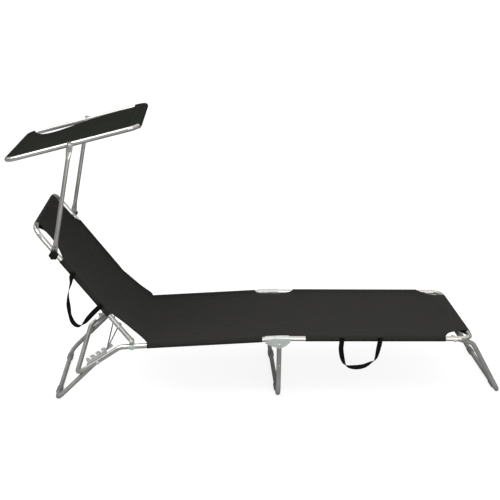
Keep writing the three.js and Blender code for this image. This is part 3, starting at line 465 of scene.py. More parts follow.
CHORD_EDGE, CHORD_SEAM, CHORD_MIDDLE = 0.0102, 0.003, -0.006
CHORD_BULGE = [(0, 0), (0.15, 0.001), (0.35, 0.002), (0.6, 0.002), (0.83, 0.005),
               (0.95, 0.004), (1, 0)]


def row(base, up, inset, edge, seam, middle, sleeve=False):
    return {"base": base, "up": up, "inset": inset, "edge": edge, "seam": seam,
            "middle": middle, "sleeve": sleeve}


def sleeve_rows(axis, first, last, seam, middle):
    count = max(2, round(abs(last - first) / SLEEVE_STEP))
    places = [first + (last - first) * i / count for i in range(count + 1)]
    return [row(axis.at(place), axis.up, 0, 0, seam, middle, True) for place in places]


def read_off(table, share):
    for (a, low), (b, high) in zip(table, table[1:]):
        if share <= b:
            return low + (high - low) * (share - a) / (b - a)
    return table[-1][1]


rows = [row(back_axis.at(BACK_LENGTH - far), back_axis.up, *rest) for far, *rest in BACK_TOP]
rows += sleeve_rows(back_axis, *BACK_SLEEVE, seam=0.001, middle=-0.006)
chord_start, chord_end = back_axis.at(BACK_SLEEVE[1]), seat_axis.at(SEAT_SLEEVE[0])
chord = (chord_end - chord_start).normalized()
chord_up = Vector((-chord.z, 0, chord.x))
for i in range(1, CHORD_STEPS):
    share = i / CHORD_STEPS
    base = chord_start.lerp(chord_end, share)
    inset = CHORD_INSET + CHORD_WAIST * math.sin(math.pi * share) ** WAIST_POWER
    edge = CHORD_EDGE + read_off(CHORD_BULGE, share)
    rows.append(row(base, chord_up, inset, edge, CHORD_SEAM, CHORD_MIDDLE))
seat_start = len(rows)
rows += sleeve_rows(seat_axis, *SEAT_SLEEVE, seam=0.0, middle=-0.008)
for place, *rest in JOINT_GAP:
    axis = seat_axis if place < 0 else foot_axis
    rows.append(row(axis.at(abs(place)), axis.up, *rest))
rows += sleeve_rows(foot_axis, *FOOT_SLEEVE, seam=0.0, middle=-0.008)
rows += [row(foot_axis.at(FOOT_LENGTH - far), foot_axis.up, *rest) for far, *rest in FOOT_END]
last_row = len(rows) - 1
print("the long cloth has", len(rows), "rows")

# %% [markdown]
# Where the cloth comes down to the seat it turns by more than thirty degrees in one row. The
# edges really do turn that sharply at the end of the sleeve, but the middle of the cloth turns
# slowly. So each row also gets a softened base and up, averaged over its neighbours by distance.

# %% Soften the turns in the middle of the cloth
TURN_SPREAD, HANG_SPREAD = 0.032, 0.02
FADE_LENGTH, HANG_FADE_RATE = 0.15, 3
REACH_IN_SPREADS = 3


def chained(points, start=0.0):
    """How far each point lies along the chain of them, counted from a start value."""
    way = [start]
    for before, after in zip(points, points[1:]):
        way.append(way[-1] + (after - before).length)
    return way


run = chained([item["base"] for item in rows])


def softened(index, key, spread):
    total, weight = rows[index][key] * 0, 0
    for other, item in enumerate(rows):
        gap = (run[other] - run[index]) / spread
        if abs(gap) < REACH_IN_SPREADS:
            share = math.exp(-gap * gap / 2)
            total += item[key] * share
            weight += share
    return total / weight


for index, item in enumerate(rows):
    # The softening fades out towards the two crossbars, where the cloth is flat anyway.
    keep = min(1, min(run[index], run[-1] - run[index]) / FADE_LENGTH)
    item["soft_base"] = item["base"].lerp(softened(index, "base", TURN_SPREAD), keep)
    item["soft_up"] = item["up"].lerp(softened(index, "up", TURN_SPREAD), keep).normalized()
    change = softened(index, "middle", HANG_SPREAD) - item["middle"]
    item["soft_middle"] = item["middle"] + change * min(1, keep * HANG_FADE_RATE)
print("cloth length along its middle:", round(run[-1], 3))

# %% [markdown]
# A row's points run from the near edge to the far edge. Columns are close together beside the
# seams, where the surface turns, and wide apart in the plain middle. Sleeve rows have extra
# points that go round the tube. Faces are made only where two neighbouring rows both have them,
# which leaves the ends of the sleeves open, with the tube coming out.

# %% Points of one row
HALF_SHARES = [0, 0.1, 0.2, 0.31, 0.42, 0.53, 0.64, 0.74, 0.83, 0.9, 0.955]
WELT = [(-0.0045, 0), (-0.0015, 0.0013), (0.0015, 0.0013), (0.0045, 0)]
RISE = [(0.3, 0.06), (0.55, 0.24), (0.72, 0.5), (0.87, 0.83), (1, 1)]
SEAM_TO_CREST = 0.0297
HANG_POWER = 2.4


def sheet_half(item, side):
    crest_flat, crest_high = RAIL_Y - item["inset"], item["edge"]
    if item["sleeve"]:
        flat, high = teardrop(item["seam"])[0]
        crest_flat, crest_high = RAIL_Y + flat, high
    seam_flat = crest_flat - SEAM_TO_CREST
    middle, seam = item["soft_middle"], item["seam"]
    rise = crest_high - seam
    points = [(s * seam_flat, middle + (seam - middle) * s ** HANG_POWER) for s in HALF_SHARES]
    points += [(seam_flat + offset, seam + high) for offset, high in WELT]
    points += [(seam_flat + SEAM_TO_CREST * s, seam + rise * h) for s, h in RISE]
    placed = []
    for flat, high in points:
        soft = max(0, 1 - (flat / seam_flat) ** 2)
        base = item["base"].lerp(item["soft_base"], soft)
        up = item["up"].lerp(item["soft_up"], soft).normalized()
        placed.append(base + up * high + Vector((0, side * flat, 0)))
    return placed


def wrap_half(item, side):
    if not item["sleeve"]:
        return []
    turned = teardrop(item["seam"])[1:]
    base, up = item["base"], item["up"]
    return [base + up * high + Vector((0, side * (RAIL_Y + flat), 0)) for flat, high in turned]


def row_points(item):
    near, far = sheet_half(item, -1), sheet_half(item, 1)
    wraps = {"near": wrap_half(item, -1), "far": wrap_half(item, 1)}
    return {"sheet": near[:0:-1] + far, **wraps}


points_of = [row_points(item) for item in rows]
COLUMNS = len(points_of[0]["sheet"])
NEAR_SEAM = len(RISE) + 1
FAR_SEAM = COLUMNS - 1 - NEAR_SEAM
wrap_count = max(len(points["near"]) for points in points_of)
print("columns:", COLUMNS, "and", wrap_count, "more round each rail")

# %% [markdown]
# At each crossbar the cloth turns round the bar and is sewn to itself, like the sleeves but
# across the bed. So the teardrop is used again, and its points become rows: each repeats the
# last row of the sheet, moved round the bar.

# %% Pockets round the two crossbars
BACK_POCKET_SEAM, FOOT_POCKET_SEAM = 0.0075, 0.0065


def plain_line(points):
    return {"sheet": points, "near": [], "far": []}


def pocket_rows(axis, length, first, seam_height):
    made = []
    for flat, high in teardrop(seam_height):
        shift = axis.at(length + flat, high)
        made.append(plain_line([Vector((shift.x, point.y, shift.z)) for point in first["sheet"]]))
    return made


back_pocket = pocket_rows(back_axis, BACK_LENGTH, points_of[0], BACK_POCKET_SEAM)[::-1]
foot_pocket = pocket_rows(foot_axis, FOOT_LENGTH, points_of[-1], FOOT_POCKET_SEAM)
print("each pocket adds", len(back_pocket), "rows")

# %% [markdown]
# The seat joins two hinges, so the long cloth is handed over in two lengths that meet flush in
# the seat. One covers the backrest, the other the foot section. Both start from the same row of
# points, so no edge shows between them.

# %% Make cloth from rows of points
SHARP_TURN = math.radians(50)
ROWS_TO_SPLIT = 12
SPLIT_ROW = seat_start + ROWS_TO_SPLIT


def smooth_object(name, mesh, material):
    data = bpy.data.meshes.new(name)
    mesh.to_mesh(data)
    mesh.free()
    for polygon in data.polygons:
        polygon.use_smooth = True
    data.materials.append(material)
    return in_scene(name, data)


def baked(made):
    shaped = made.evaluated_get(bpy.context.evaluated_depsgraph_get())
    data = bpy.data.meshes.new_from_object(shaped)
    made.modifiers.clear()
    made.data = data
    data.name = made.name
    return made


def cloth_grid(mesh, lines):
    """The vertices of all rows, and where each lies on the flat cloth in metres."""
    grid, laid_at = [], {}
    centres = [line["sheet"][len(line["sheet"]) // 2] for line in lines]
    for line, travel in zip(lines, chained(centres)):
        sheet = line["sheet"]
        spots = chained(sheet)
        half = spots[-1] / 2
        verts = {"sheet": [mesh.verts.new(point) for point in sheet]}
        for vert, value in zip(verts["sheet"], spots):
            laid_at[vert] = (travel, value - half)
        for key, end, sign in (("near", 0, -1), ("far", -1, 1)):
            verts[key] = [verts["sheet"][end]] + [mesh.verts.new(point) for point in line[key]]
            values = chained([sheet[end]] + line[key], half)
            for vert, value in zip(verts[key][1:], values[1:]):
                laid_at[vert] = (travel, sign * value)
        grid.append(verts)
    return grid, laid_at


def cloth_object(name, lines, material, upward):
    """A closed cloth from rows of points; its UV map is in metres along and across."""
    mesh = bmesh.new()
    laid = mesh.loops.layers.uv.new("laid")
    grid, laid_at = cloth_grid(mesh, lines)
    for before, after in zip(grid, grid[1:]):
        for key in ("sheet", "near", "far"):
            a, b = before[key], after[key]
            if len(a) == len(b):
                for i in range(len(a) - 1):
                    face = mesh.faces.new((a[i], a[i + 1], b[i + 1], b[i]))
                    for loop in face.loops:
                        loop[laid].uv = laid_at[loop.vert]
    bmesh.ops.recalc_face_normals(mesh, faces=mesh.faces)
    middle = lines[len(lines) // 2]["sheet"][COLUMNS // 2]
    nearest = min(mesh.faces, key=lambda face: (face.calc_center_median() - middle).length)
    if nearest.normal.dot(upward) < 0:
        bmesh.ops.reverse_faces(mesh, faces=mesh.faces)
    area = sum(face.calc_area() for face in mesh.faces)
    made = smooth_object(name, mesh, material)
    round_off = made.modifiers.new("round", "SUBSURF")
    round_off.levels = round_off.render_levels = 1
    thicken = made.modifiers.new("thickness", "SOLIDIFY")
    thicken.thickness, thicken.offset, thicken.use_even_offset = CLOTH, 0, True
    made = baked(made)
    made.data.set_sharp_from_angle(angle=SHARP_TURN)
    made["flat_area"] = area
    return made


back_lines = back_pocket + points_of[: SPLIT_ROW + 1]
foot_lines = points_of[SPLIT_ROW:] + foot_pocket
back_sling = cloth_object("backrest_seat_sling", back_lines, sling_cloth, back_axis.up)
foot_sling = cloth_object("seat_foot_sling", foot_lines, sling_cloth, foot_axis.up)
print("cloth areas:", round(back_sling["flat_area"], 3), round(foot_sling["flat_area"], 3))

# %% [markdown]
# ## The canopy cloth
#
# The canopy is a smaller cloth with a pocket at each end. Its pockets run a little way round
# the tube corners, further on the far side, because the cloth has slipped that way. Its free
# sides curve in, and it hangs lowest near the head end.

# %% Canopy pockets along the bent tube
CANOPY_Y, CANOPY_RADIUS, CORNER = 0.2794, 0.0085, 0.036
HEAD_REACH, FOOT_REACH = 0.2363, 0.2474
STRAIGHT = CANOPY_Y - CORNER
CORNER_ARC = CORNER * math.pi / 2
HEAD_POCKET = (-STRAIGHT - 0.006, STRAIGHT + 0.040)
FOOT_POCKET = (-STRAIGHT - 0.012, STRAIGHT + CORNER_ARC + 0.008)
HEAD_HEIGHT, FOOT_HEIGHT = -0.003, 0.004
CAP_WRAP = CANOPY_RADIUS + EASE + CLOTH / 2
CAP_SEAM = 0.030
CAP_STEPS = 30
CAP_SHARES = [i / CAP_STEPS for i in range(CAP_STEPS + 1)]


def bar_place(travel, bar, way):
    """Place, height-free, on a crossbar and its corners; travel is measured from its middle."""
    side = 1 if travel >= 0 else -1
    past = abs(travel) - STRAIGHT
    if past <= 0:
        return Vector((bar, travel)), Vector((way, 0))
    turn = min(past / CORNER, math.pi / 2)
    rest = past - turn * CORNER
    centre = Vector((bar - way * CORNER, side * STRAIGHT))
    outward = Vector((way * math.cos(turn), side * math.sin(turn)))
    return centre + outward * CORNER - Vector((way * rest, 0)), outward


def cap_lines(bar, way, near, far, seam_height):
    """The rows of a pocket, from its upper seam round the tube to its lower one."""
    spots = [bar_place(near + (far - near) * share, bar, way) for share in CAP_SHARES]
    made = []
    for flat, high in [(-CAP_SEAM, seam_height)] + teardrop(seam_height, CAP_WRAP, CAP_SEAM):
        line = []
        for spot, outward in spots:
            at = spot + outward * flat
            line.append(canopy_axis.at(at.x, high) + Vector((0, at.y, 0)))
        made.append(plain_line(line))
    return made


head_cap = cap_lines(-HEAD_REACH, -1, *HEAD_POCKET, HEAD_HEIGHT)
foot_cap = cap_lines(FOOT_REACH, 1, *FOOT_POCKET, FOOT_HEIGHT)
print("canopy pockets have", len(head_cap), "rows of", len(CAP_SHARES), "points")

# %% [markdown]
# Between its pockets the canopy cloth is free. Its sides could be drawn straight, but real cloth
# under tension pulls in between its ends, so a table gives how far, and a second one how deep
# the cloth hangs. It hangs less on the near side: in the photograph none shows below that tube.

# %% The free cloth between the pockets
HANG = [(0, -0.003), (0.05, -0.0085), (0.10, -0.0108), (0.18, -0.0108), (0.26, -0.009),
        (0.34, -0.006), (0.42, -0.003), (0.50, 0.0), (0.65, 0.003), (0.84, 0.004), (1, 0.004)]
SIDE_INSET = [(0, 0.036), (0.3, 0.038), (0.5, 0.030), (0.7, 0.024), (1, 0.020)]
FREE_STEPS = 22
SETTLE_RATE = 8
MEAN_SLACK, SLACK_CHANGE = 0.72, 0.28


def free_line(share):
    """One row between the pockets, at a share of the way from the head to the foot."""
    line = []
    for column, head, foot in zip(CAP_SHARES, head_cap[0]["sheet"], foot_cap[0]["sheet"]):
        flat = head.lerp(foot, share)
        across_share = 2 * column - 1
        width = CANOPY_Y - read_off(SIDE_INSET, share)
        settle = min(1, SETTLE_RATE * share, SETTLE_RATE * (1 - share))
        y = flat.y + (across_share * width - flat.y) * settle
        along = (flat - canopy_axis.start).dot(canopy_axis.along)
        slack = MEAN_SLACK + SLACK_CHANGE * across_share
        line.append(canopy_axis.at(along, read_off(HANG, share) * slack) + Vector((0, y, 0)))
    return plain_line(line)


free_lines = [free_line(i / FREE_STEPS) for i in range(1, FREE_STEPS)]
canopy_rows = head_cap[::-1] + free_lines + foot_cap
canopy_cloth = cloth_object("canopy_sling", canopy_rows, canopy_weave, canopy_axis.up)
print("canopy area:", round(canopy_cloth["flat_area"], 3))

# %% [markdown]
# ## Hems
#
# A free edge of cloth would fray, so it is folded under and sewn. The fold is a second strip of
# cloth just below the first, 13 mm wide, for every stretch of free edge.

# %% Hem strips under the free edges
HEM = 0.013
HEM_DROP = CLOTH + 0.0001
HEM_CLOTH = 0.0008


def inside_edge(line, side, reach):
    """The point on a row's free edge, and the one a little inside it."""
    points = line["sheet"] if side < 0 else line["sheet"][::-1]
    left = reach
    for a, b in zip(points, points[1:]):
        step = (b - a).length
        if step >= left:
            return points[0], a.lerp(b, left / step)
        left -= step


def stretches(first, last, sleeved):
    """The runs of neighbouring rows, from first to last, that have a sleeve or have none."""
    runs = [[]]
    for index in range(first, last + 1):
        if rows[index]["sleeve"] == sleeved:
            runs[-1].append(index)
        elif runs[-1]:
            runs.append([])
    return [now for now in runs if len(now) > 1]


def sling_edges(first, last, reach):
    """For each free edge of a sling, its pairs of points, each pair with the way up."""
    runs = [(now, side) for now in stretches(first, last, False) for side in (-1, 1)]
    return [[(inside_edge(points_of[index], side, reach), rows[index]["up"]) for index in now]
            for now, side in runs]


def canopy_edges(reach):
    return [[(inside_edge(line, side, reach), canopy_axis.up) for line in free_lines]
            for side in (-1, 1)]


def hem_object(name, edges, material):
    mesh = bmesh.new()
    laid = mesh.loops.layers.uv.new("laid")
    for edge in edges:
        strip = [[point - up * HEM_DROP for point in pair] for pair, up in edge]
        verts = []
        for pair, travel in zip(strip, chained([pair[0] for pair in strip])):
            verts.append([(mesh.verts.new(point), travel, i * HEM) for i, point in enumerate(pair)])
        for a, b in zip(verts, verts[1:]):
            corners = (a[0], a[1], b[1], b[0])
            face = mesh.faces.new([corner[0] for corner in corners])
            for loop, corner in zip(face.loops, corners):
                loop[laid].uv = corner[1:]
    bmesh.ops.recalc_face_normals(mesh, faces=mesh.faces)
    made = smooth_object(name, mesh, material)
    thicken = made.modifiers.new("thickness", "SOLIDIFY")
    thicken.thickness, thicken.offset = HEM_CLOTH, 0
    return baked(made)


back_edges, foot_edges = sling_edges(0, SPLIT_ROW, HEM), sling_edges(SPLIT_ROW, last_row, HEM)
back_hems = hem_object("backrest_seat_hems", back_edges, sling_cloth)
foot_hems = hem_object("seat_foot_hems", foot_edges, sling_cloth)
canopy_hems = hem_object("canopy_hems", canopy_edges(HEM), canopy_weave)
print("hem faces:", [len(made.data.polygons) for made in (back_hems, foot_hems, canopy_hems)])

# %% [markdown]
# ## Stitches
#
# Thousands of stitches follow the seams. A Geometry Nodes tree turns a polyline into a curve,
# puts a point at every stitch length, and sets one small bead of thread on each, turned along
# the curve. The result is made real mesh, because instances don't survive the export.

# %% The stitch tree
class Grower(Nodes):
    """A Geometry Nodes tree: one geometry, some lengths and a material in, one geometry out."""

    def __init__(self, name, geometry, lengths, material, result):
        self.tree = bpy.data.node_groups.new(name, "GeometryNodeTree")
        face = self.tree.interface
        face.new_socket(geometry, in_out="INPUT", socket_type="NodeSocketGeometry")
        for key, value in lengths.items():
            made = face.new_socket(key, in_out="INPUT", socket_type="NodeSocketFloat")
            made.default_value = value
        face.new_socket(material, in_out="INPUT", socket_type="NodeSocketMaterial")
        face.new_socket(result, in_out="OUTPUT", socket_type="NodeSocketGeometry")
        inputs = self.tree.nodes.new("NodeGroupInput").outputs
        self.given = [Wire(self, inputs[key]) for key in (geometry, *lengths, material)]

    def step(self, kind, settings=None, output=0, **sockets):
        named = {name.replace("_", " "): value for name, value in sockets.items()}
        return self.node("GeometryNode" + kind, settings, named, output)

    def finished(self, geometry):
        self.put(self.tree.nodes.new("NodeGroupOutput").inputs[0], geometry)
        return self.tree


def stitch_tree():
    lengths = {"Pitch": 0.0045, "Stitch length": 0.0031, "Thread radius": 0.0004}
    made = Grower("stitches_along_a_seam", "Seam", lengths, "Thread", "Stitches")
    seam, pitch, length, radius, thread_given = made.given
    curve = made.step("MeshToCurve", Mesh=seam)
    spaced = made.step("ResampleCurve", {"mode": "LENGTH"}, Curve=curve, Length=pitch)
    bead = made.step("MeshUVSphere", Segments=6, Rings=4, Radius=1)
    along = {"Vector": made.step("InputTangent")}
    turned = made.node("FunctionNodeAlignRotationToVector", {"axis": "X"}, along)
    size = made.spot(length * 0.5, radius, radius)
    beads = {"Instance": bead, "Rotation": turned, "Scale": size}
    placed = made.step("InstanceOnPoints", Points=spaced, **beads)
    real = made.step("RealizeInstances", Geometry=placed)
    shaded = made.step("SetShadeSmooth", Geometry=real)
    return made.finished(made.step("SetMaterial", Geometry=shaded, Material=thread_given))


def set_inputs(modifier, values):
    """Inputs of a Geometry Nodes modifier go by the identifier of their socket."""
    for item in modifier.node_group.interface.items_tree:
        if item.item_type == "SOCKET" and item.in_out == "INPUT" and item.name in values:
            modifier[item.identifier] = values[item.name]


def grown(name, lines, tree, values, attributes=None):
    """The plain mesh that a tree makes from polylines."""
    verts, edges = [], []
    for line in lines:
        edges += [(len(verts) + i, len(verts) + i + 1) for i in range(len(line) - 1)]
        verts += [tuple(point) for point in line]
    data = bpy.data.meshes.new(name)
    data.from_pydata(verts, edges, [])
    for key, items in (attributes or {}).items():
        layer = data.attributes.new(key, "FLOAT_VECTOR", "POINT")
        layer.data.foreach_set("vector", [value for item in items for value in item])
    made = in_scene(name, data)
    modifier = made.modifiers.new("grow", "NODES")
    modifier.node_group = tree
    set_inputs(modifier, values)
    return baked(made)


stitching = stitch_tree()
print("stitch tree has", len(stitching.nodes), "nodes")

# %% [markdown]
# The stitches have to lie on the finished cloth, which rounding has moved a little from the rows
# it was made of. So every seam line is first laid on the cloth's own surface. Sleeves have two
# rows of stitches, and hems and pockets have one.

# %% Seam lines laid on the cloth
STITCH_LIFT, SEARCH_HEIGHT = 0.0002, 0.002
SLEEVE_ROWS = (-0.0015, 0.005)
HEM_STITCH = HEM - 0.002


def nearest_on(made):
    return BVHTree.FromObject(made, bpy.context.evaluated_depsgraph_get())


def laid_on(surface, line):
    """The line's points moved onto a surface, on the side that they came from."""
    made = []
    for point, up in line:
        spot, normal, _, _ = surface.find_nearest(point + up * SEARCH_HEIGHT)
        made.append(spot + normal * STITCH_LIFT)
    return made


def sleeve_seam(group, column, shift):
    aside = Vector((0, shift, 0))
    return [(points_of[index]["sheet"][column] + aside, rows[index]["up"]) for index in group]


def sling_seams(first, last, pocket):
    lines = [sleeve_seam(group, column, way * inside)
             for group in stretches(first, last, True)
             for column, way in ((NEAR_SEAM, 1), (FAR_SEAM, -1))
             for inside in SLEEVE_ROWS]
    for edge in sling_edges(first, last, HEM_STITCH):
        lines.append([(pair[1], up) for pair, up in edge])
    lines.append([(point, rows[pocket]["up"]) for point in points_of[pocket]["sheet"][1:-1]])
    return lines


def stitches(name, cloth, lines):
    surface = nearest_on(cloth)
    return grown(name, [laid_on(surface, line) for line in lines], stitching, {"Thread": thread})


back_seams = sling_seams(0, SPLIT_ROW, 0)
foot_seams = sling_seams(SPLIT_ROW, last_row, last_row)
back_stitches = stitches("backrest_seat_stitches", back_sling, back_seams)
foot_stitches = stitches("seat_foot_stitches", foot_sling, foot_seams)
canopy_seams = [[(point, canopy_axis.up) for point in cap[0]["sheet"]]
                for cap in (head_cap, foot_cap)]
canopy_seams += [[(pair[1], up) for pair, up in edge] for edge in canopy_edges(HEM_STITCH)]
canopy_stitches = stitches("canopy_stitches", canopy_cloth, canopy_seams)
every_stitching = (back_stitches, foot_stitches, canopy_stitches)
print("stitch faces:", [len(made.data.polygons) for made in every_stitching])

# %% [markdown]
# ## Carry straps
#
# Two loops of flat webbing hang on the near side. Webbing can't bend sideways: it turns edge-on
# between its sewn ends and its lowest point. A second Geometry Nodes tree sweeps a flat section
# along the path and reads, point by point, which way the flat side faces.

# %% The webbing tree
STRAP_WIDTH, STRAP_THICKNESS = 0.0185, 0.0016


def captured(made, curve, name):
    """The curve with its running length kept on its points, and that length."""
    keep = made.tree.nodes.new("GeometryNodeCaptureAttribute")
    keep.capture_items.new("FLOAT", name)
    made.put(keep.inputs["Geometry"], curve)
    made.put(keep.inputs[name], made.step("SplineParameter", output="Length"))
    return Wire(made, keep.outputs["Geometry"]), Wire(made, keep.outputs[name])


def webbing_tree():
    lengths = {"Width": STRAP_WIDTH, "Thickness": STRAP_THICKNESS}
    made = Grower("webbing_along_a_path", "Path", lengths, "Webbing", "Strap")
    path, width, thickness, webbing_given = made.given
    side = made.step("InputNamedAttribute", {"data_type": "FLOAT_VECTOR"}, Name="facing")
    curve = made.step("MeshToCurve", Mesh=path)
    facing = made.step("SetCurveNormal", {"mode": "FREE"}, Curve=curve, Normal=side)
    section = made.step("CurvePrimitiveQuadrilateral", Width=thickness, Height=width)
    facing, along = captured(made, facing, "along")
    section, around = captured(made, section, "around")
    swept = made.step("CurveToMesh", Curve=facing, Profile_Curve=section, Fill_Caps=True)
    stored = {"data_type": "FLOAT2", "domain": "CORNER"}
    laid = {"Name": "laid", "Value": made.spot(along, around)}
    mapped = made.step("StoreNamedAttribute", stored, Geometry=swept, **laid)
    real = made.step("RealizeInstances", Geometry=mapped)
    return made.finished(made.step("SetMaterial", Geometry=real, Material=webbing_given))


webbing_sweep = webbing_tree()
print("webbing tree has", len(webbing_sweep.nodes), "nodes")

# %% [markdown]
# Each path is a few points read from the loop in the photograph: how far along the rail, how
# high above it, and how many degrees the flat side is turned. A smooth curve joins them. The
# webbing hangs just outside the sleeve, further out where it is turned and so takes more room.

# %% The two strap paths
FOOT_LOOP = [
    (0.2328, 0.008, 0), (0.2336, -0.010, 0), (0.2323, -0.040, 5), (0.2405, -0.0805, 40),
    (0.2556, -0.1023, 88), (0.292, -0.1076, 128), (0.3209, -0.1019, 118), (0.3434, -0.089, 92),
    (0.3631, -0.0737, 50), (0.3725, -0.0371, 15), (0.3774, -0.010, 0), (0.3776, 0.008, 0),
]
BACK_LOOP = [
    (0.3387, 0.008, 0), (0.3305, -0.008, 20), (0.3155, -0.024, 62), (0.2944, -0.0527, 90),
    (0.2719, -0.0737, 112), (0.2508, -0.0888, 132), (0.2231, -0.1055, 116),
    (0.2004, -0.1144, 130), (0.1811, -0.1139, 118), (0.1686, -0.1045, 92),
    (0.1672, -0.0852, 50), (0.1715, -0.0625, 18), (0.1764, -0.030, 4), (0.1783, -0.010, 0),
    (0.1796, 0.008, 0),
]
SLEEVE_OUTSIDE = RAIL_Y + WRAP + CLOTH / 2
STRAP_CLEAR = 0.0004
STRAP_STEPS = 72


def eased(values, share):
    """A smooth curve through the values, read at a share of their count."""
    spot = share * (len(values) - 1)
    i = min(int(spot), len(values) - 2)
    t = spot - i
    a, b, c, d = (values[max(0, min(len(values) - 1, k))] for k in (i - 1, i, i + 1, i + 2))
    return b + 0.5 * t * ((c - a) + t * ((2 * a - 5 * b + 4 * c - d) + t * (3 * (b - c) + d - a)))


def strap(name, axis, loop):
    path = []
    for i in range(STRAP_STEPS + 1):
        share = i / STRAP_STEPS
        distance, height, turn = (eased([item[k] for item in loop], share) for k in range(3))
        path.append((axis.at(distance, height), math.radians(turn)))
    points, facing = [], []
    for i, (place, turn) in enumerate(path):
        after, before = path[min(i + 1, STRAP_STEPS)][0], path[max(i - 1, 0)][0]
        tangent = (after - before).normalized()
        level = Vector((tangent.z, 0, -tangent.x))
        flat_way = level * math.cos(turn) + Vector((0, 1, 0)) * math.sin(turn)
        room = STRAP_THICKNESS * abs(math.cos(turn)) + STRAP_WIDTH * math.sin(turn)
        clear = STRAP_CLEAR + room / 2
        points.append(place + Vector((0, -(SLEEVE_OUTSIDE + clear), 0)))
        facing.append(tangent.cross(flat_way).normalized())
    made = grown(name, [points], webbing_sweep, {"Webbing": webbing}, {"facing": facing})
    made["path_length"] = chained(points)[-1]
    return made


foot_strap = strap("foot_strap", foot_axis, FOOT_LOOP)
back_strap = strap("backrest_strap", back_axis, BACK_LOOP)
print("strap lengths:", round(foot_strap["path_length"], 3), round(back_strap["path_length"], 3))

# %% [markdown]
# ## Small marks
#
# Push-on caps hold the ends of the bail's bushes on the backrest tube, and the middle leg has
# small stop rivets. They are too small to be solids of their own. Each head is placed where a
# level line from the side meets its tube, so it sits on the metal whatever the tube's shape.

# %% Rivet heads
BAIL_CAP, STOP_RIVET = (0.0048, 0.0022), (0.0032, 0.0016)
CAP_PLACE = back_axis.at(0.074, -0.0005)
STOP_PLACE = Vector((0.0612, 0, 0.1414))
OUTSIDE_Y = 0.6
DOME_SIDES, DOME_RINGS = 20, 10


def rivet_heads(name, place, onto, size):
    """A flat dome on each side of the lounger, of a radius and a height."""
    radius, high = size
    surface = nearest_on(frame["nodes"][onto])
    mesh = bmesh.new()
    for side in (-1, 1):
        start = Vector((place.x, side * OUTSIDE_Y, place.z))
        spot = surface.ray_cast(start, Vector((0, -side, 0)))[0]
        dome = Matrix.Translation(spot) @ Matrix.Diagonal((radius, high, radius, 1))
        bmesh.ops.create_uvsphere(
            mesh, u_segments=DOME_SIDES, v_segments=DOME_RINGS, radius=1, matrix=dome
        )
    return smooth_object(name, mesh, bright_zinc)


bail_caps = rivet_heads("bail_push_caps", CAP_PLACE, "backrest_tube", BAIL_CAP)
stop_rivets = rivet_heads("mid_leg_stop_rivets", STOP_PLACE, "mid_leg_tube", STOP_RIVET)
print("rivet heads:", len(bail_caps.data.polygons), len(stop_rivets.data.polygons))

# %% [markdown]
# ## Floor and light
#
# The picture has a pure white ground. The floor shows white to the camera and keeps a soft
# shadow under the lounger, because part of its white is a plain lit surface. To reflections it
# is nearly black, so that the undersides of the tubes stay grey, as in the photograph.

# %% Floor
FLOOR_HALF = 30
SQUARE = ((-1, -1), (1, -1), (1, 1), (-1, 1))
FLOOR_BASE, FLOOR_GLOW, FLOOR_MIRRORED = (0.4, 0.4, 0.4, 1), (0.84, 0.84, 0.84, 1), 0.06
BLACK, WHITE = (0, 0, 0, 1), (1, 1, 1, 1)

floor_mesh = bpy.data.meshes.new("studio_floor")
corners = [(x * FLOOR_HALF, y * FLOOR_HALF, 0) for x, y in SQUARE]
floor_mesh.from_pydata(corners, [], [(0, 1, 2, 3)])
floor = in_scene("studio_floor", floor_mesh)
floor_finish = Finish("white_studio_floor", Roughness=0.95, Emission_Strength=1)
direct, mirrored, through = floor_finish.ray_kinds()
shown = direct + through + mirrored * FLOOR_MIRRORED
glow = floor_finish.mix(shown, BLACK, FLOOR_GLOW)
floor_finish.shade(Base_Color=FLOOR_BASE, Emission_Color=glow)
floor_mesh.materials.append(floor_finish.material)
print("floor half size:", FLOOR_HALF)

# %% [markdown]
# The world is white to the camera too, and gives even, modest light. In reflections it goes from
# dark at the horizon to bright overhead, like a studio with a ceiling softbox, which gives round
# tubes their light upper edge. Two large soft lamps add the shape: one above, one from the front.

# %% World and lamps
class Sky(Finish):
    def __init__(self, world):
        self.tree, self.material = world.node_tree, world
        self.shader = self.tree.nodes["Background"]


EVEN_LIGHT, DARK_SKY, SKY_RANGE = 0.5, 0.27, 0.85

world = bpy.data.worlds.new("studio")
bpy.context.scene.world = world
world.use_nodes = True
sky = Sky(world)
direct, mirrored, through = sky.ray_kinds()
height = sky.split(sky.node("ShaderNodeTexCoord"))[2]
overhead = height.step_over(0.15, 0.75) * SKY_RANGE + DARK_SKY
strength = EVEN_LIGHT + (direct + through) * 0.5 + mirrored * (overhead - EVEN_LIGHT)
sky.shade(Strength=strength, Color=WHITE)


def softbox(name, place, toward, size, power):
    data = bpy.data.lights.new(name, "AREA")
    data.shape, data.size, data.energy = "DISK", size, power
    lamp = in_scene(name, data)
    lamp.location = place
    lamp.rotation_mode = "QUATERNION"
    lamp.rotation_quaternion = (Vector(toward) - Vector(place)).to_track_quat("-Z", "Y")


LIT_POINT = (0, 0, 0.3)
softbox("key_softbox", (-1.7, -1.2, 3.4), LIT_POINT, size=2.2, power=50)
softbox("fill_softbox", (0.8, -3.8, 1.5), LIT_POINT, size=2.4, power=42)
bpy.context.scene.view_settings.view_transform = "Standard"
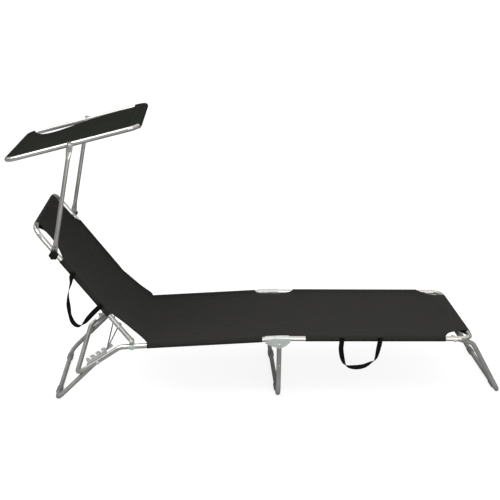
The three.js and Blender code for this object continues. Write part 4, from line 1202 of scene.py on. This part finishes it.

# %% [markdown]
# ## Hand over to the frame
#
# The canopy cloth and its seams, the straps, the bail caps and the stop rivets are tied to the
# bodies that carry them. The slings, their hems and their stitches are baked where they lie and
# tied to no body. The foot strap gets a mesh of its own, and the cloth and straps that came with
# the solids are hidden.

# %% Tie some pieces to their bodies and bake the slings in place
back_bend = {"start": seat_axis.at(SEAT_SLEEVE[0]), "end": back_axis.at(BACK_SLEEVE[1])}
foot_bend = {"start": seat_axis.at(SEAT_SLEEVE[1]), "end": foot_axis.at(FOOT_SLEEVE[0])}
for piece in (back_sling, back_hems, back_stitches):
    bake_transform(piece)
for piece in (foot_sling, foot_hems, foot_stitches):
    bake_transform(piece)
for piece in (canopy_cloth, canopy_hems, canopy_stitches):
    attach(piece, "canopy")
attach(foot_strap, "foot_section")
foot_axis.at(0.3)
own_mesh(foot_strap)
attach(back_strap, "backrest")
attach(bail_caps, "backrest")
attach(stop_rivets, "mid_leg")
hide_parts("backrest_sling", "seat_sling")
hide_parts("foot_sling")
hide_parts("canopy_cloth")
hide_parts("foot_carry_strap")
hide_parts("backrest_carry_strap")
cloths = (back_sling, back_hems, foot_sling, foot_hems, canopy_cloth, canopy_hems)
straps = (foot_strap, back_strap)
tied = (*cloths, *straps, *every_stitching, bail_caps, stop_rivets)
print("tied", len(tied), "pieces")

# %% [markdown]
# Each sheet gets a flat size, which is printed. The slings get a width and the length that makes
# a rectangle of the same area as the mesh. That is not the size of the real cut, which is wider
# and longer and has cut-outs, so the area share measured from it says nothing about the cloth.

SLING_WIDTH, CANOPY_WIDTH = 0.700, 0.520
SLINGS = (
    (back_sling, SLING_WIDTH, ["backrest_tube", "seat_frame_tube"], [back_hems, back_stitches]),
    (foot_sling, SLING_WIDTH, ["foot_frame_tube", "seat_frame_tube"], [foot_hems, foot_stitches]),
    (canopy_cloth, CANOPY_WIDTH, ["canopy_frame_tube"], [canopy_hems, canopy_stitches]),
)
for piece, wide, tubes, sewn_on in SLINGS:
    flat = (wide, piece["flat_area"] / wide)
    print(piece.name, "declared as", [round(value, 3) for value in flat])
